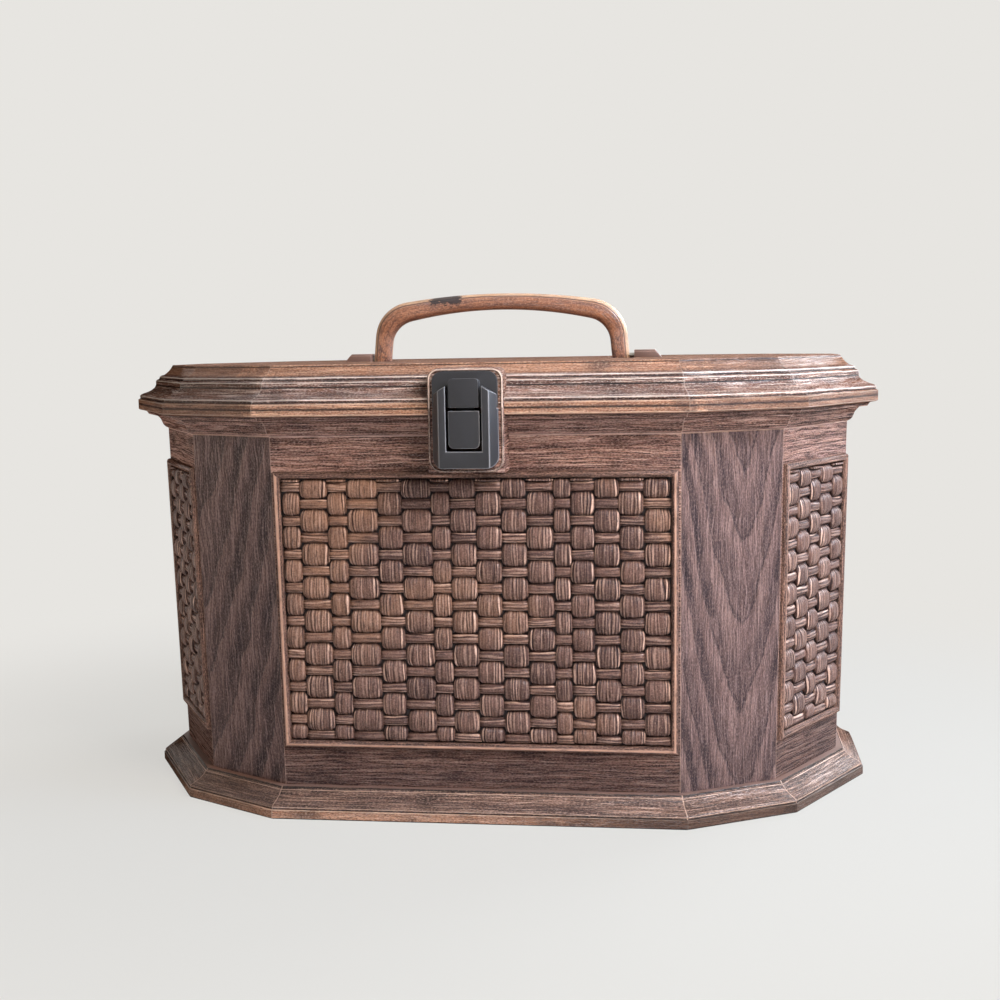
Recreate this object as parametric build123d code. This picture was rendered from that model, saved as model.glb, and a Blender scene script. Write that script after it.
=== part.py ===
"""Twelve-sided sewing box with a hinged lid, a swing handle, a push latch and a lift-out tray.

Millimetres. Z is up, the front faces -Y, and the origin is the plan centre on the underside.
Every level of the case is the same twelve-sided plan, moved in or out by an offset: offset 0 is
the wall's top edge, and a positive offset is further out.
"""
from build123d import *
import os
from math import cos, radians, sin, tan

os.makedirs("parts", exist_ok=True)

# ---------------------------------------------------------------- plan of the wall's top edge
FACET_COUNT = 12
FACET_TURN = 360 / FACET_COUNT
LONG_FACET = 186.8          # front and back, woven
SIDE_FACET = 68.1           # four at the ends, woven
PLAIN_FACET = 52.8          # six between them, plain
WOVEN = {0: "front", 2: "front_right", 4: "back_right", 6: "back", 8: "back_left", 10: "front_left"}

# ---------------------------------------------------------------- heights
PLINTH_TOP = 12.8
CASE_FLOOR_LOW = 2.5        # the tub's underside, on the plinth's plate
CASE_FLOOR_TOP = 5.5
WALL_TOP = 176.9
LEDGE = 181.0               # the tray hangs on this
SEAM = 189.7                # between tub and lid
LID_CEILING = 206.3
LID_TOP = 209.3

# ---------------------------------------------------------------- walls
WALL_LEAN = 4.07            # the foot of the wall stands this far inside its top
WALL = 3.0
RIM_OUT = 14.27             # the widest line, at the seam
MOUTH = 1.2                 # inner edge of tub and lid at the seam
DRAFT = WALL_LEAN / (WALL_TOP - PLINTH_TOP)

# ---------------------------------------------------------------- woven plaques
PLAQUE_LOW = 31.3
PLAQUE_HIGH = 160.9
PLAQUE_MARGIN = 0.9         # from the facet's corner
PLAQUE_LET_IN = 1.8
PLAQUE_PROUD = 2.4
FIELD_PROUD = -0.8
FRAME_WIDTH = 3.5
PLAQUE_LEVELS = ((0, -PLAQUE_LET_IN), (0, PLAQUE_PROUD - 1.0), (0.9, PLAQUE_PROUD))      # (inset, out)
FIELD_LEVELS = ((FRAME_WIDTH, FIELD_PROUD), (FRAME_WIDTH - 0.3, 1.4), (FRAME_WIDTH - 1.2, PLAQUE_PROUD + 0.1))
FRONT_COLUMNS = (8.2, 13.2, 8.9, 14.3, 11.4, 13.7, 8.6, 11.8, 11.6, 11.6, 12.3, 7.7, 10.5, 11.4, 10.9, 11.8)
SIDE_COLUMNS = (11.0, 12.6, 11.2, 13.0, 11.4)
FIRST_ROW = 3.7             # middle of the top row, below the field's top
ROW_PITCH = 7.8
ROWS = 16
BUNDLE_TALL = 10.6          # upright bundles of reeds, over the bars
BUNDLE_LEVELS = ((0.0, -1.1), (0.5, 0.7), (1.5, 1.9))
BAR_TALL = 4.7              # level bars, between the bundles of a column
BAR_LEVELS = ((0.0, -1.1), (0.2, 0.3), (0.9, 1.2))
LEAST_TALL = 2.6            # shorter ends of bundles and bars at the frame are left out

# ---------------------------------------------------------------- latch, on the front
PAD_HALF = 16.9
PAD_OUT = 14.9
PAD_LOW = 161.2
PAD_HIGH = 207.2
PAD_CORNER = 5.0
PAD_ROOT = 1.5              # pads start this far inside the wall's line
LID_PAD_ROOT = 6.0          # the lid's half starts further in, under its sloped top
HOUSING_OUT = 21.6
HOUSING_HALF = 14.6
HOUSING_FACE_HALF = 11.2
HOUSING_LOW = 163.5
HOUSING_HIGH = 199.5
HOUSING_BEVEL_OUT = 16.6    # the bevelled sides start here
HOUSING_SHOULDER = 195.5    # the arms slope in above this
HOUSING_CORNER = 5.0
CHANNEL_HALF = 7.9
CHANNEL_LOW = 171.0
BUTTON_HALF = 6.9
BUTTON_LOW = 172.2
BUTTON_HIGH = 188.7
BUTTON_OUT = 20.9
BUTTON_PLATE = 2.0
BUTTON_CORNER = 2.5
BUTTON_WALL = 1.5
BUTTON_WALL_Z = (175.0, 187.0)
EAR_Z = (176.0, 186.0)      # ears behind the pad stop the button on its way out
EAR_GAP = 0.2               # beside the pocket
CATCH_IN = 9.6              # rear of the button's catch bar
CATCH_OUT = 13.4
CATCH_LOW = 180.0
CATCH_HIGH = 184.0
POCKET_HALF = 8.6
POCKET_LOW = 168.0
POCKET_FLOOR = 4.0
HASP_HALF = 14.4
HASP_OUT = 16.9
HASP_LOW = 190.1
HASP_HIGH = 205.8
HASP_CORNER = 4.5
BLOCK_HALF = 6.6
BLOCK_OUT = 21.0
BLOCK_HIGH = 202.6
BLOCK_CORNER = 1.8
TONGUE_HALF = 4.0
TONGUE_LOW = 176.8
TONGUE_OUT = (15.0, 16.2)
HOOK_REACH = 1.4            # over the catch bar
SPRING_RADIUS = 2.0
SPRING_WIRE = 0.5
SPRING_TURNS = 4

# ---------------------------------------------------------------- handle and its bosses
PIVOT_HEIGHT = 210.4
PIN_RADIUS = 1.25
BOSS_INNER = 68.7
BOSS_OUTER = 82.4
BOSS_TOP = 213.2
BOSS_HALF = 7.0
BOSS_SLOPE = 3.4
BOSS_CHAMFER = 1.0
PIN_INNER_END = 59.5
PIN_IN_BOSS = 10.5
PIN_BORE = 20.5
PIN_BORE_START = BOSS_INNER - 10
HANDLE_SLID = -1.0          # the handle has end play, and stands to the left of it
HANDLE_HALF_DEPTH = 6.0
EYE_RADIUS = 3.8
LEG_FOOT = PIVOT_HEIGHT - EYE_RADIUS - 1
BAIL_OUTSIDE = ((67.4, LEG_FOOT), (64.5, 237.1), 243.4, 20.0)    # foot, shoulder, crown, corner radius
BAIL_INSIDE = ((58.3, LEG_FOOT), (56.3, 227.5), 235.0, 13.0)
BAIL_CHAMFER = 1.6
LEG_THIN_TO = 222.0         # the legs are as thin as the eyes up to here
LEG_THICK_FROM = 232.0
LEG_SLOT_INNER = 55.5
LEG_SLOT_HALF = 15.0
LEG_SLOT_FLOOR = 206.1
MOUNT_BLOCK_LOW = 201.0     # thickening under the lid's top that carries slot and screws
MOUNT_BLOCK_WALL = 2.5

# ---------------------------------------------------------------- hinges, on the back
HINGE_X = 58.0
HINGE_PAD_HALF = 22.0
HINGE_PAD_LOW = 161.5
HINGE_PAD_HIGH = 206.0
HINGE_PAD_WALL = 0.5        # the slopes start this far out of the wall
HINGE_PAD_SLOPE_LOW = 8.5
HINGE_PAD_SLOPE_HIGH = 1.5
LEAF_HALF = 19.0
LEAF = 1.0
LEAF_REACH = 16.0
KNUCKLE_RADIUS = 2.2
KNUCKLE_HALF = 6.0          # the lid's middle knuckle
KNUCKLE_GAP = 0.3
KNUCKLE_CLEAR = 2.7
HINGE_AXIS_OUT = 2.6        # pin axis beyond the rim
HINGE_PIN_RADIUS = 1.0

SCREW_RADIUS = 1.2
SCREW_HEAD_RADIUS = 2.4
SCREW_HEAD = 1.2
RUNNING_GAP = 0.05
SCREW_LEAD = 0.6            # holes start this far before the head's face
HOUSING_SCREW = (11.6, 166.0, 21.5)     # distance from the middle, height, length
HASP_SCREW = (10.8, 194.0, 15.0)
HINGE_SCREW_X = 13.0
HINGE_SCREW_OFF = 0.8       # from the middle of the leaf, away from the pin
HINGE_SCREW_LONG = 7.0
BOSS_SCREW_X = 75.5
BOSS_SCREW_Y = 4.4
BOSS_SCREW_LONG = 11.2

# ---------------------------------------------------------------- tray
TRAY_FLOOR_LOW = 145.0
TRAY_WALL = 1.8
TRAY_FLANGE = 2.2
TRAY_FLANGE_OUT = 0.7
TRAY_END = 66.0             # dividers stand at this distance each side of the middle
TRAY_FOOT = -7.0            # offset of the tray's outside at its floor
TRAY_BROW = -4.4            # and under its flange
PEG_RADIUS = 2.2
PEG_HEIGHT = 24.0
PEG_COUNT = 5
PEG_PITCH = 22.0
PEG_ROW = 84.0              # behind the middle
THROUGH = 200.0             # long enough to cut right across


def normal(index):
    """The way facet number index faces; number 0 is the front, and they go round to +X."""
    turn = radians(FACET_TURN * index)
    return Vector(sin(turn), -cos(turn))


def facet_length(index):
    if index % 2:
        return PLAIN_FACET
    return LONG_FACET if index % 6 == 0 else SIDE_FACET


def plan_corners():
    """The corner after each facet. The ring of facets closes on itself."""
    depth = sum(facet_length(i) * sin(radians(FACET_TURN * i)) for i in range(1, 6))
    corners = [Vector(LONG_FACET / 2, -depth / 2)]
    for i in range(1, FACET_COUNT):
        along = Vector(cos(radians(FACET_TURN * i)), sin(radians(FACET_TURN * i)))
        corners.append(corners[-1] + along * facet_length(i))
    return corners


CORNERS = plan_corners()
HALF_DEPTH = -CORNERS[0].Y


def ring(offset, z):
    reach = offset / (1 + cos(radians(FACET_TURN)))
    points = []
    for i, corner in enumerate(CORNERS):
        moved = corner + (normal(i) + normal(i + 1)) * reach
        points.append(Vector(moved.X, moved.Y, z))
    return Wire.make_polygon(points, close=True)


def moulded(profile):
    """A solid through twelve-sided rings, given as (height, offset)."""
    return Solid.make_loft([ring(offset, z) for z, offset in profile], ruled=True)


def wall_offset(z):
    return -DRAFT * (WALL_TOP - z)


def box(x, y, z):
    """A block between two limits on each axis."""
    size = [span[1] - span[0] for span in (x, y, z)]
    centre = [(span[1] + span[0]) / 2 for span in (x, y, z)]
    return Pos(*centre) * Box(*size)


def front_box(x, out, z):
    """A block on the front, between two offsets from the wall's top edge."""
    return box(x, (-HALF_DEPTH - out[1], -HALF_DEPTH - out[0]), z)


def back_box(x, out, z):
    return box(x, (HALF_DEPTH + out[0], HALF_DEPTH + out[1]), z)


def rod(start, direction, radius, length):
    return Solid.make_cylinder(radius, length, Plane(origin=start, z_dir=direction))


def screw(head_face, direction, length, head=SCREW_HEAD):
    """Head on the surface at head_face, shank into it along direction."""
    way = Vector(*direction)
    place = Vector(*head_face)
    return rod(place - way * head, way, SCREW_HEAD_RADIUS, head) + rod(place, way, SCREW_RADIUS, length)


def screw_hole(head_face, direction, length):
    """A clearance hole that starts a little before the head's face."""
    start = Vector(*head_face) - Vector(*direction) * SCREW_LEAD
    return rod(start, Vector(*direction), SCREW_RADIUS + RUNNING_GAP, length + SCREW_LEAD + RUNNING_GAP)


def upright_outline(points):
    """A face in the XZ plane, from (x, z) points, facing -Y."""
    return make_face(Polyline([Vector(x, 0, z) for x, z in points], close=True))


def upright_box(half, low, high):
    return upright_outline(((-half, low), (half, low), (half, high), (-half, high)))


def plate(outline, near, far):
    """An upright outline made solid on the front, between two offsets from the wall's top edge."""
    return Pos(0, -HALF_DEPTH - near, 0) * extrude(outline, far - near, dir=(0, -1, 0))


# ---------------------------------------------------------------- woven plaques
def facet_plane(index, z):
    """On the leaning wall face: X along the facet, Y up the face, Z outwards."""
    outwards = normal(index)
    middle = (CORNERS[index - 1] + CORNERS[index]) / 2 + outwards * wall_offset(z)
    facing = Vector(outwards.X, outwards.Y, -DRAFT).normalized()
    return Plane(origin=(middle.X, middle.Y, z), x_dir=Vector(0, 0, 1).cross(facing), z_dir=facing)


def plaque_ring(index, inset, out):
    """The plaque's four-sided outline, drawn in by inset, at a distance out of the wall."""
    middle = (PLAQUE_LOW + PLAQUE_HIGH) / 2
    half_height = (PLAQUE_HIGH - PLAQUE_LOW) / 2
    points = []
    for side, level in ((-1, -1), (1, -1), (1, 1), (-1, 1)):
        z = middle + level * half_height
        half_width = facet_length(index) / 2 + wall_offset(z) * tan(radians(FACET_TURN / 2))
        across = side * (half_width - PLAQUE_MARGIN - inset)
        points.append(Vector(across, level * (half_height - inset), out))
    plane = facet_plane(index, middle)
    return Wire.make_polygon([plane.from_local_coords(p) for p in points], close=True)


def reed(plane, across, up, levels):
    """A bundle or a bar: a low block that narrows upwards through levels of (inset, out)."""
    rings = []
    for inset, out in levels:
        x0, x1 = across[0] + inset, across[1] - inset
        y0, y1 = up[0] + inset, up[1] - inset
        corners = [Vector(x, y, out) for x, y in ((x0, y0), (x1, y0), (x1, y1), (x0, y1))]
        rings.append(Wire.make_polygon([plane.from_local_coords(point) for point in corners], close=True))
    return Solid.make_loft(rings, ruled=True)


def weave(index):
    """Bundles and bars of one panel, alternating along each column and from column to column."""
    middle = (PLAQUE_LOW + PLAQUE_HIGH) / 2
    top = (PLAQUE_HIGH - PLAQUE_LOW) / 2 - FRAME_WIDTH
    half_width = facet_length(index) / 2 + wall_offset(middle) * tan(radians(FACET_TURN / 2))
    half_width -= PLAQUE_MARGIN + FRAME_WIDTH
    columns = FRONT_COLUMNS if index % 6 == 0 else SIDE_COLUMNS
    stretch = 2 * half_width / sum(columns)
    plane = facet_plane(index, middle)
    reeds = []
    left = -half_width
    for column, width in enumerate(columns):
        right = left + width * stretch
        for row in range(-1, ROWS + 1):
            on_top = row % 2 != column % 2
            tall, levels = (BUNDLE_TALL, BUNDLE_LEVELS) if on_top else (BAR_TALL, BAR_LEVELS)
            centre = top - FIRST_ROW - ROW_PITCH * row
            up = (max(centre - tall / 2, -top), min(centre + tall / 2, top))
            if up[1] - up[0] > LEAST_TALL + 2 * levels[-1][0] - 1:
                reeds.append(reed(plane, (left, right), up, levels))
        left = right
    return reeds


def woven_plaque(index):
    """Beaded frame round a sunk field, with the weave on the field."""
    body = Solid.make_loft([plaque_ring(index, inset, out) for inset, out in PLAQUE_LEVELS], ruled=True)
    body -= Solid.make_loft([plaque_ring(index, inset, out) for inset, out in FIELD_LEVELS], ruled=True)
    return body + weave(index)


def plaque_recess(index):
    levels = ((0, -PLAQUE_LET_IN), (0, PLAQUE_PROUD))
    return Solid.make_loft([plaque_ring(index, inset, out) for inset, out in levels], ruled=True)


# ---------------------------------------------------------------- case
TUB_OUTSIDE = (
    (CASE_FLOOR_LOW, wall_offset(CASE_FLOOR_LOW)), (WALL_TOP, 0),
    (177.5, 1.3), (178.6, 2.4), (180.0, 3.0), (181.4, 3.5), (182.5, 4.4), (183.3, 5.2), (183.9, 5.6),
    (184.3, 9.4), (185.3, 10.0), (186.1, 10.6), (186.6, 13.4), (187.0, RIM_OUT), (SEAM, RIM_OUT),
)
PLINTH_OUTSIDE = (
    (0, 8.5), (0.4, 8.9), (4.3, 8.9), (4.6, 8.2), (5.4, 8.3), (6.2, 7.8), (6.9, 6.2), (7.9, 4.1),
    (9.1, 2.3), (10.5, 0.9), (11.4, 0.1), (11.7, -0.4), (12.3, -0.6), (PLINTH_TOP, -1.03),
)
LID_OUTSIDE = (
    (SEAM, RIM_OUT), (191.9, RIM_OUT), (192.2, 13.7), (192.6, 13.1), (193.1, 13.3), (193.8, 13.4),
    (194.4, 12.8), (194.9, 11.8), (195.7, 9.4), (196.7, 7.4), (198.0, 5.9), (199.2, 5.3), (201.4, 5.2),
    (201.9, 4.6), (202.4, 3.5), (203.5, 3.3), (204.0, 2.4), (204.4, 0.9), (205.4, -0.4), (206.7, -1.7),
    (208.1, -2.7), (LID_TOP, -3.36),
)
LID_INSIDE = ((SEAM - 1, MOUTH), (197.5, MOUTH), (LID_CEILING, -7.5))


def latch_pad(low, high):
    """The raised block round the latch. Its top and bottom corners are outside the case's mouldings."""
    return front_box((-PAD_HALF, PAD_HALF), (-PAD_ROOT, PAD_OUT), (low, high))


def hinge_pad(side, low, high, slope_low, slope_high):
    """A block out to the rim on the back, with sloped ends above and below."""
    near = HALF_DEPTH - PAD_ROOT
    wall = HALF_DEPTH + HINGE_PAD_WALL
    rim = HALF_DEPTH + RIM_OUT
    points = [(near, low), (wall, low), (rim, low + slope_low), (rim, high - slope_high),
              (wall, high), (near, high)]
    face = make_face(Polyline([Vector(0, y, z) for y, z in points], close=True))
    solid = extrude(face, HINGE_PAD_HALF, dir=(1, 0, 0), both=True)
    return Pos(side * HINGE_X, 0, 0) * solid


def housing_screws():
    """Head faces of the two screws that hold the latch housing, from inside the tub."""
    aside, z, length = HOUSING_SCREW
    inside = -HALF_DEPTH - (wall_offset(z - SCREW_HEAD_RADIUS) - WALL)
    return [((x, inside, z), (0, -1, 0), length) for x in (-aside, aside)]


def hasp_screws():
    """Head faces of the two screws that hold the hasp, from inside the lid."""
    aside, z, length = HASP_SCREW
    return [((x, -HALF_DEPTH - MOUTH, z), (0, -1, 0), length) for x in (-aside, aside)]


def hinge_screws(side, up):
    """Head faces of the screws in one leaf; up is 1 for the lid's leaf and -1 for the tub's."""
    y = HALF_DEPTH + RIM_OUT + LEAF
    z = SEAM + up * ((KNUCKLE_CLEAR + LEAF_REACH) / 2 + HINGE_SCREW_OFF)
    places = [side * HINGE_X + x for x in (-HINGE_SCREW_X, HINGE_SCREW_X)]
    return [((x, y, z), (0, -1, 0), HINGE_SCREW_LONG) for x in places]


def bracket_screws(side):
    """Head faces of the screws up into one boss, from under the lid's top."""
    x = side * BOSS_SCREW_X
    return [((x, y, MOUNT_BLOCK_LOW), (0, 0, 1), BOSS_SCREW_LONG) for y in (-BOSS_SCREW_Y, BOSS_SCREW_Y)]


def tub():
    """Open case: moulded wall and rim, pads, recesses, the latch's pocket and the tray's ledge."""
    outside = moulded(TUB_OUTSIDE)
    inside = moulded((
        (CASE_FLOOR_TOP, wall_offset(CASE_FLOOR_TOP) - WALL), (WALL_TOP, -WALL), (LEDGE, -WALL)))
    mouth = moulded(((LEDGE, MOUTH), (SEAM + 1, MOUTH)))
    solid = outside + latch_pad(PAD_LOW, SEAM)
    for side in (-1, 1):
        solid += hinge_pad(side, HINGE_PAD_LOW, SEAM, HINGE_PAD_SLOPE_LOW, 0)
    solid = solid - inside - mouth
    for index in WOVEN:
        solid -= plaque_recess(index)
    solid -= front_box((-POCKET_HALF, POCKET_HALF), (POCKET_FLOOR, PAD_OUT + 1), (POCKET_LOW, SEAM + 1))
    for hole in housing_screws() + hinge_screws(-1, -1) + hinge_screws(1, -1):
        solid -= screw_hole(*hole)
    return solid


def plinth():
    """Moulded foot with a plate under the tub, which stands in it."""
    seat = [(z, wall_offset(z)) for z in (CASE_FLOOR_LOW, PLINTH_TOP + 1)]
    return moulded(PLINTH_OUTSIDE) - moulded(seat)


# ---------------------------------------------------------------- lid
def pin_bore(side, radius):
    return rod((side * PIN_BORE_START, 0, PIVOT_HEIGHT), (side, 0, 0), radius, PIN_BORE)


def lid_shell():
    """Hollow lid with its pads, the handle's slots and the blocks that carry them."""
    inside = moulded(LID_INSIDE)
    solid = moulded(LID_OUTSIDE) + lid_latch_pad()
    for side in (-1, 1):
        solid += hinge_pad(side, SEAM, HINGE_PAD_HIGH, 0, HINGE_PAD_SLOPE_HIGH)
    solid -= inside
    for side in (-1, 1):
        span = sorted((side * (LEG_SLOT_INNER - 3), side * (BOSS_OUTER + 1)))
        slot = sorted((side * LEG_SLOT_INNER, side * BOSS_INNER))
        reach = LEG_SLOT_HALF + MOUNT_BLOCK_WALL
        solid += box(span, (-reach, reach), (MOUNT_BLOCK_LOW, LID_CEILING + 0.5))
        solid -= box(slot, (-LEG_SLOT_HALF, LEG_SLOT_HALF), (LEG_SLOT_FLOOR, LID_TOP + 1))
        solid -= pin_bore(side, PIN_RADIUS + RUNNING_GAP)
        for hole in bracket_screws(side) + hinge_screws(side, 1):
            solid -= screw_hole(*hole)
    for hole in hasp_screws():
        solid -= screw_hole(*hole)
    return solid


def lid_latch_pad():
    """The lid's half of the raised block, with rounded top corners."""
    outline = upright_box(PAD_HALF, SEAM, PAD_HIGH)
    outline = fillet(outline.vertices().filter_by(lambda v: v.Z > SEAM + 1), PAD_CORNER)
    return plate(outline, -LID_PAD_ROOT, PAD_OUT)


# ---------------------------------------------------------------- latch
def hasp():
    """Plate and grip block on the lid, with the hooked tongue that hangs into the tub's pocket."""
    face = upright_box(HASP_HALF, HASP_LOW, HASP_HIGH)
    face = fillet(face.vertices().filter_by(lambda v: v.Z > SEAM + 5), HASP_CORNER)
    grip = upright_box(BLOCK_HALF, HASP_LOW, BLOCK_HIGH)
    grip = fillet(grip.vertices().filter_by(lambda v: v.Z > SEAM + 5), BLOCK_CORNER)
    tongue = front_box((-TONGUE_HALF, TONGUE_HALF), TONGUE_OUT, (TONGUE_LOW, HASP_LOW + 1))
    hook = front_box((-TONGUE_HALF + 0.2, TONGUE_HALF - 0.2), (CATCH_OUT - HOOK_REACH, TONGUE_OUT[0] + 0.5),
                     (TONGUE_LOW, CATCH_LOW - 0.3))
    solid = plate(face, PAD_OUT, HASP_OUT) + plate(grip, PAD_OUT, BLOCK_OUT) + tongue + hook
    for hole in hasp_screws():
        solid -= screw_hole(*hole)
    return solid


def housing():
    """Frame with bevelled sides, and two arms that reach up beside the lid's block."""
    section = [(-HOUSING_HALF, PAD_OUT), (HOUSING_HALF, PAD_OUT), (HOUSING_HALF, HOUSING_BEVEL_OUT),
               (HOUSING_FACE_HALF, HOUSING_OUT), (-HOUSING_FACE_HALF, HOUSING_OUT),
               (-HOUSING_HALF, HOUSING_BEVEL_OUT)]
    face = make_face(Polyline([Vector(x, -HALF_DEPTH - out, HOUSING_LOW) for x, out in section], close=True))
    solid = extrude(face, HOUSING_HIGH - HOUSING_LOW, dir=(0, 0, 1))
    front = upright_outline(((-HOUSING_HALF, HOUSING_LOW), (HOUSING_HALF, HOUSING_LOW),
                             (HOUSING_HALF, HOUSING_SHOULDER), (CHANNEL_HALF, HOUSING_HIGH),
                             (-CHANNEL_HALF, HOUSING_HIGH), (-HOUSING_HALF, HOUSING_SHOULDER)))
    front = fillet(front.vertices().filter_by(lambda v: v.Z < HOUSING_LOW + 1), HOUSING_CORNER)
    solid = solid & plate(front, 0, HOUSING_OUT + 1)
    solid -= front_box((-CHANNEL_HALF, CHANNEL_HALF), (PAD_OUT - 1, HOUSING_OUT + 1),
                       (CHANNEL_LOW, HOUSING_HIGH + 1))
    solid -= front_box((-HOUSING_HALF - 1, HOUSING_HALF + 1), (PAD_OUT - 1, HASP_OUT + 0.3),
                       (SEAM - 0.2, HOUSING_HIGH + 1))
    for hole in housing_screws():
        solid -= screw_hole(*hole)
    return solid


def button():
    """Front plate, two side walls, stop ears and the catch bar that holds the hook."""
    outline = upright_box(BUTTON_HALF, BUTTON_LOW, BUTTON_HIGH)
    outline = fillet(outline.vertices().filter_by(lambda v: v.Z < BUTTON_LOW + 1), BUTTON_CORNER)
    plate_back = BUTTON_OUT - BUTTON_PLATE
    solid = plate(outline, plate_back, BUTTON_OUT)
    for side in (-1, 1):
        wall = sorted((side * (BUTTON_HALF - BUTTON_WALL), side * BUTTON_HALF))
        ear = sorted((side * BUTTON_HALF, side * (POCKET_HALF - EAR_GAP)))
        solid += front_box(wall, (CATCH_IN, plate_back), BUTTON_WALL_Z)
        solid += front_box(ear, (CATCH_IN, PAD_OUT - RUNNING_GAP), EAR_Z)
    solid += front_box((-BUTTON_HALF, BUTTON_HALF), (CATCH_IN, CATCH_OUT), (CATCH_LOW, CATCH_HIGH))
    return solid


def latch_spring():
    """Compression coil behind the catch bar, along Y."""
    height = CATCH_IN - POCKET_FLOOR - SPRING_WIRE
    start = (0, -HALF_DEPTH - POCKET_FLOOR - SPRING_WIRE / 2, (CATCH_LOW + CATCH_HIGH) / 2)
    coil = Helix(height / SPRING_TURNS, height, SPRING_RADIUS, center=start, direction=(0, -1, 0))
    section = Plane(origin=coil @ 0, z_dir=coil % 0) * Circle(SPRING_WIRE / 2)
    return sweep(section, path=coil, is_frenet=True)


# ---------------------------------------------------------------- handle
def bail_outline(leg_foot, corner, crown, corner_radius):
    """Half of the bail's edge mirrored into one closed outline: leaning legs under a crowned top."""
    foot, shoulder = Vector(leg_foot[0], 0, leg_foot[1]), Vector(corner[0], 0, corner[1])
    foot_left, shoulder_left = Vector(-foot.X, 0, foot.Z), Vector(-shoulder.X, 0, shoulder.Z)
    edges = [Line(foot_left, foot), Line(foot, shoulder),
             ThreePointArc(shoulder, Vector(0, 0, crown), shoulder_left), Line(shoulder_left, foot_left)]
    face = make_face(edges)
    return fillet(face.vertices().filter_by(lambda v: v.Z > foot.Z + 1), corner_radius)


def handle():
    """Crowned bail with round shoulders, thinner front to back at the legs than at the grip."""
    bar = extrude(bail_outline(*BAIL_OUTSIDE), HANDLE_HALF_DEPTH, dir=(0, 1, 0), both=True)
    bar = bar - extrude(bail_outline(*BAIL_INSIDE), HANDLE_HALF_DEPTH + 1, dir=(0, 1, 0), both=True)
    on_sides = bar.edges().filter_by(lambda e: abs(abs(e.center().Y) - HANDLE_HALF_DEPTH) < 0.01)
    bar = chamfer(on_sides.filter_by(lambda e: e.center().Z > LEG_FOOT + 0.1), BAIL_CHAMFER)

    above = BAIL_OUTSIDE[2] + 1
    side_view = [(-EYE_RADIUS, PIVOT_HEIGHT), (EYE_RADIUS, PIVOT_HEIGHT), (EYE_RADIUS, LEG_THIN_TO),
                 (HANDLE_HALF_DEPTH, LEG_THICK_FROM), (HANDLE_HALF_DEPTH, above), (-HANDLE_HALF_DEPTH, above),
                 (-HANDLE_HALF_DEPTH, LEG_THICK_FROM), (-EYE_RADIUS, LEG_THIN_TO)]
    face = make_face(Polyline([Vector(0, y, z) for y, z in side_view], close=True))
    envelope = extrude(face, THROUGH / 2, dir=(1, 0, 0), both=True)
    envelope += rod((-THROUGH / 2, 0, PIVOT_HEIGHT), (1, 0, 0), EYE_RADIUS, THROUGH)
    solid = Pos(HANDLE_SLID, 0, 0) * (bar & envelope)
    return solid - rod((-THROUGH / 2, 0, PIVOT_HEIGHT), (1, 0, 0), PIN_RADIUS + RUNNING_GAP, THROUGH)


def bracket(side):
    """Low boss on the lid's top with a sloped outer end and a blind hole for the pin."""
    outline = upright_outline(((side * BOSS_INNER, LID_TOP), (side * BOSS_OUTER, LID_TOP),
                               (side * (BOSS_OUTER - BOSS_SLOPE), BOSS_TOP), (side * BOSS_INNER, BOSS_TOP)))
    solid = extrude(outline, BOSS_HALF, dir=(0, 1, 0), both=True)
    top_edges = solid.edges().filter_by(Axis.X).filter_by(lambda e: e.center().Z > BOSS_TOP - 0.1)
    solid = chamfer(top_edges, BOSS_CHAMFER)
    solid -= pin_bore(side, PIN_RADIUS)
    for hole in bracket_screws(side):
        solid -= screw_hole(*hole)
    return solid


def handle_pin(side):
    length = BOSS_INNER + PIN_IN_BOSS - PIN_INNER_END
    return rod((side * PIN_INNER_END, 0, PIVOT_HEIGHT), (side, 0, 0), PIN_RADIUS, length)


# ---------------------------------------------------------------- hinges
def leaf(side, up):
    """Plate with its knuckles: the lid's has the middle one, the tub's the outer two."""
    face_out = (RIM_OUT, RIM_OUT + LEAF)
    plate_z = sorted((SEAM + up * KNUCKLE_CLEAR, SEAM + up * LEAF_REACH))
    web_z = sorted((SEAM, SEAM + up * KNUCKLE_CLEAR))
    if up > 0:
        spans = [(-KNUCKLE_HALF, KNUCKLE_HALF)]
    else:
        spans = [(-LEAF_HALF, -KNUCKLE_HALF - KNUCKLE_GAP), (KNUCKLE_HALF + KNUCKLE_GAP, LEAF_HALF)]
    axis_y = HALF_DEPTH + RIM_OUT + HINGE_AXIS_OUT
    solid = back_box((-LEAF_HALF, LEAF_HALF), face_out, plate_z)
    for low, high in spans:
        solid += back_box((low, high), face_out, web_z)
        solid += rod((low, axis_y, SEAM), (1, 0, 0), KNUCKLE_RADIUS, high - low)
    bore = HINGE_PIN_RADIUS + (RUNNING_GAP if up > 0 else 0)
    solid -= rod((-LEAF_HALF - 1, axis_y, SEAM), (1, 0, 0), bore, 2 * LEAF_HALF + 2)
    solid = Pos(side * HINGE_X, 0, 0) * solid
    for hole in hinge_screws(side, up):
        solid -= rod(Vector(*hole[0]) + Vector(0, 1, 0), hole[1], SCREW_RADIUS + RUNNING_GAP, 4)
    return solid


def hinge_pin(side):
    axis_y = HALF_DEPTH + RIM_OUT + HINGE_AXIS_OUT
    start = (side * HINGE_X - LEAF_HALF - 0.4, axis_y, SEAM)
    return rod(start, (1, 0, 0), HINGE_PIN_RADIUS, 2 * LEAF_HALF + 0.8)


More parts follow.
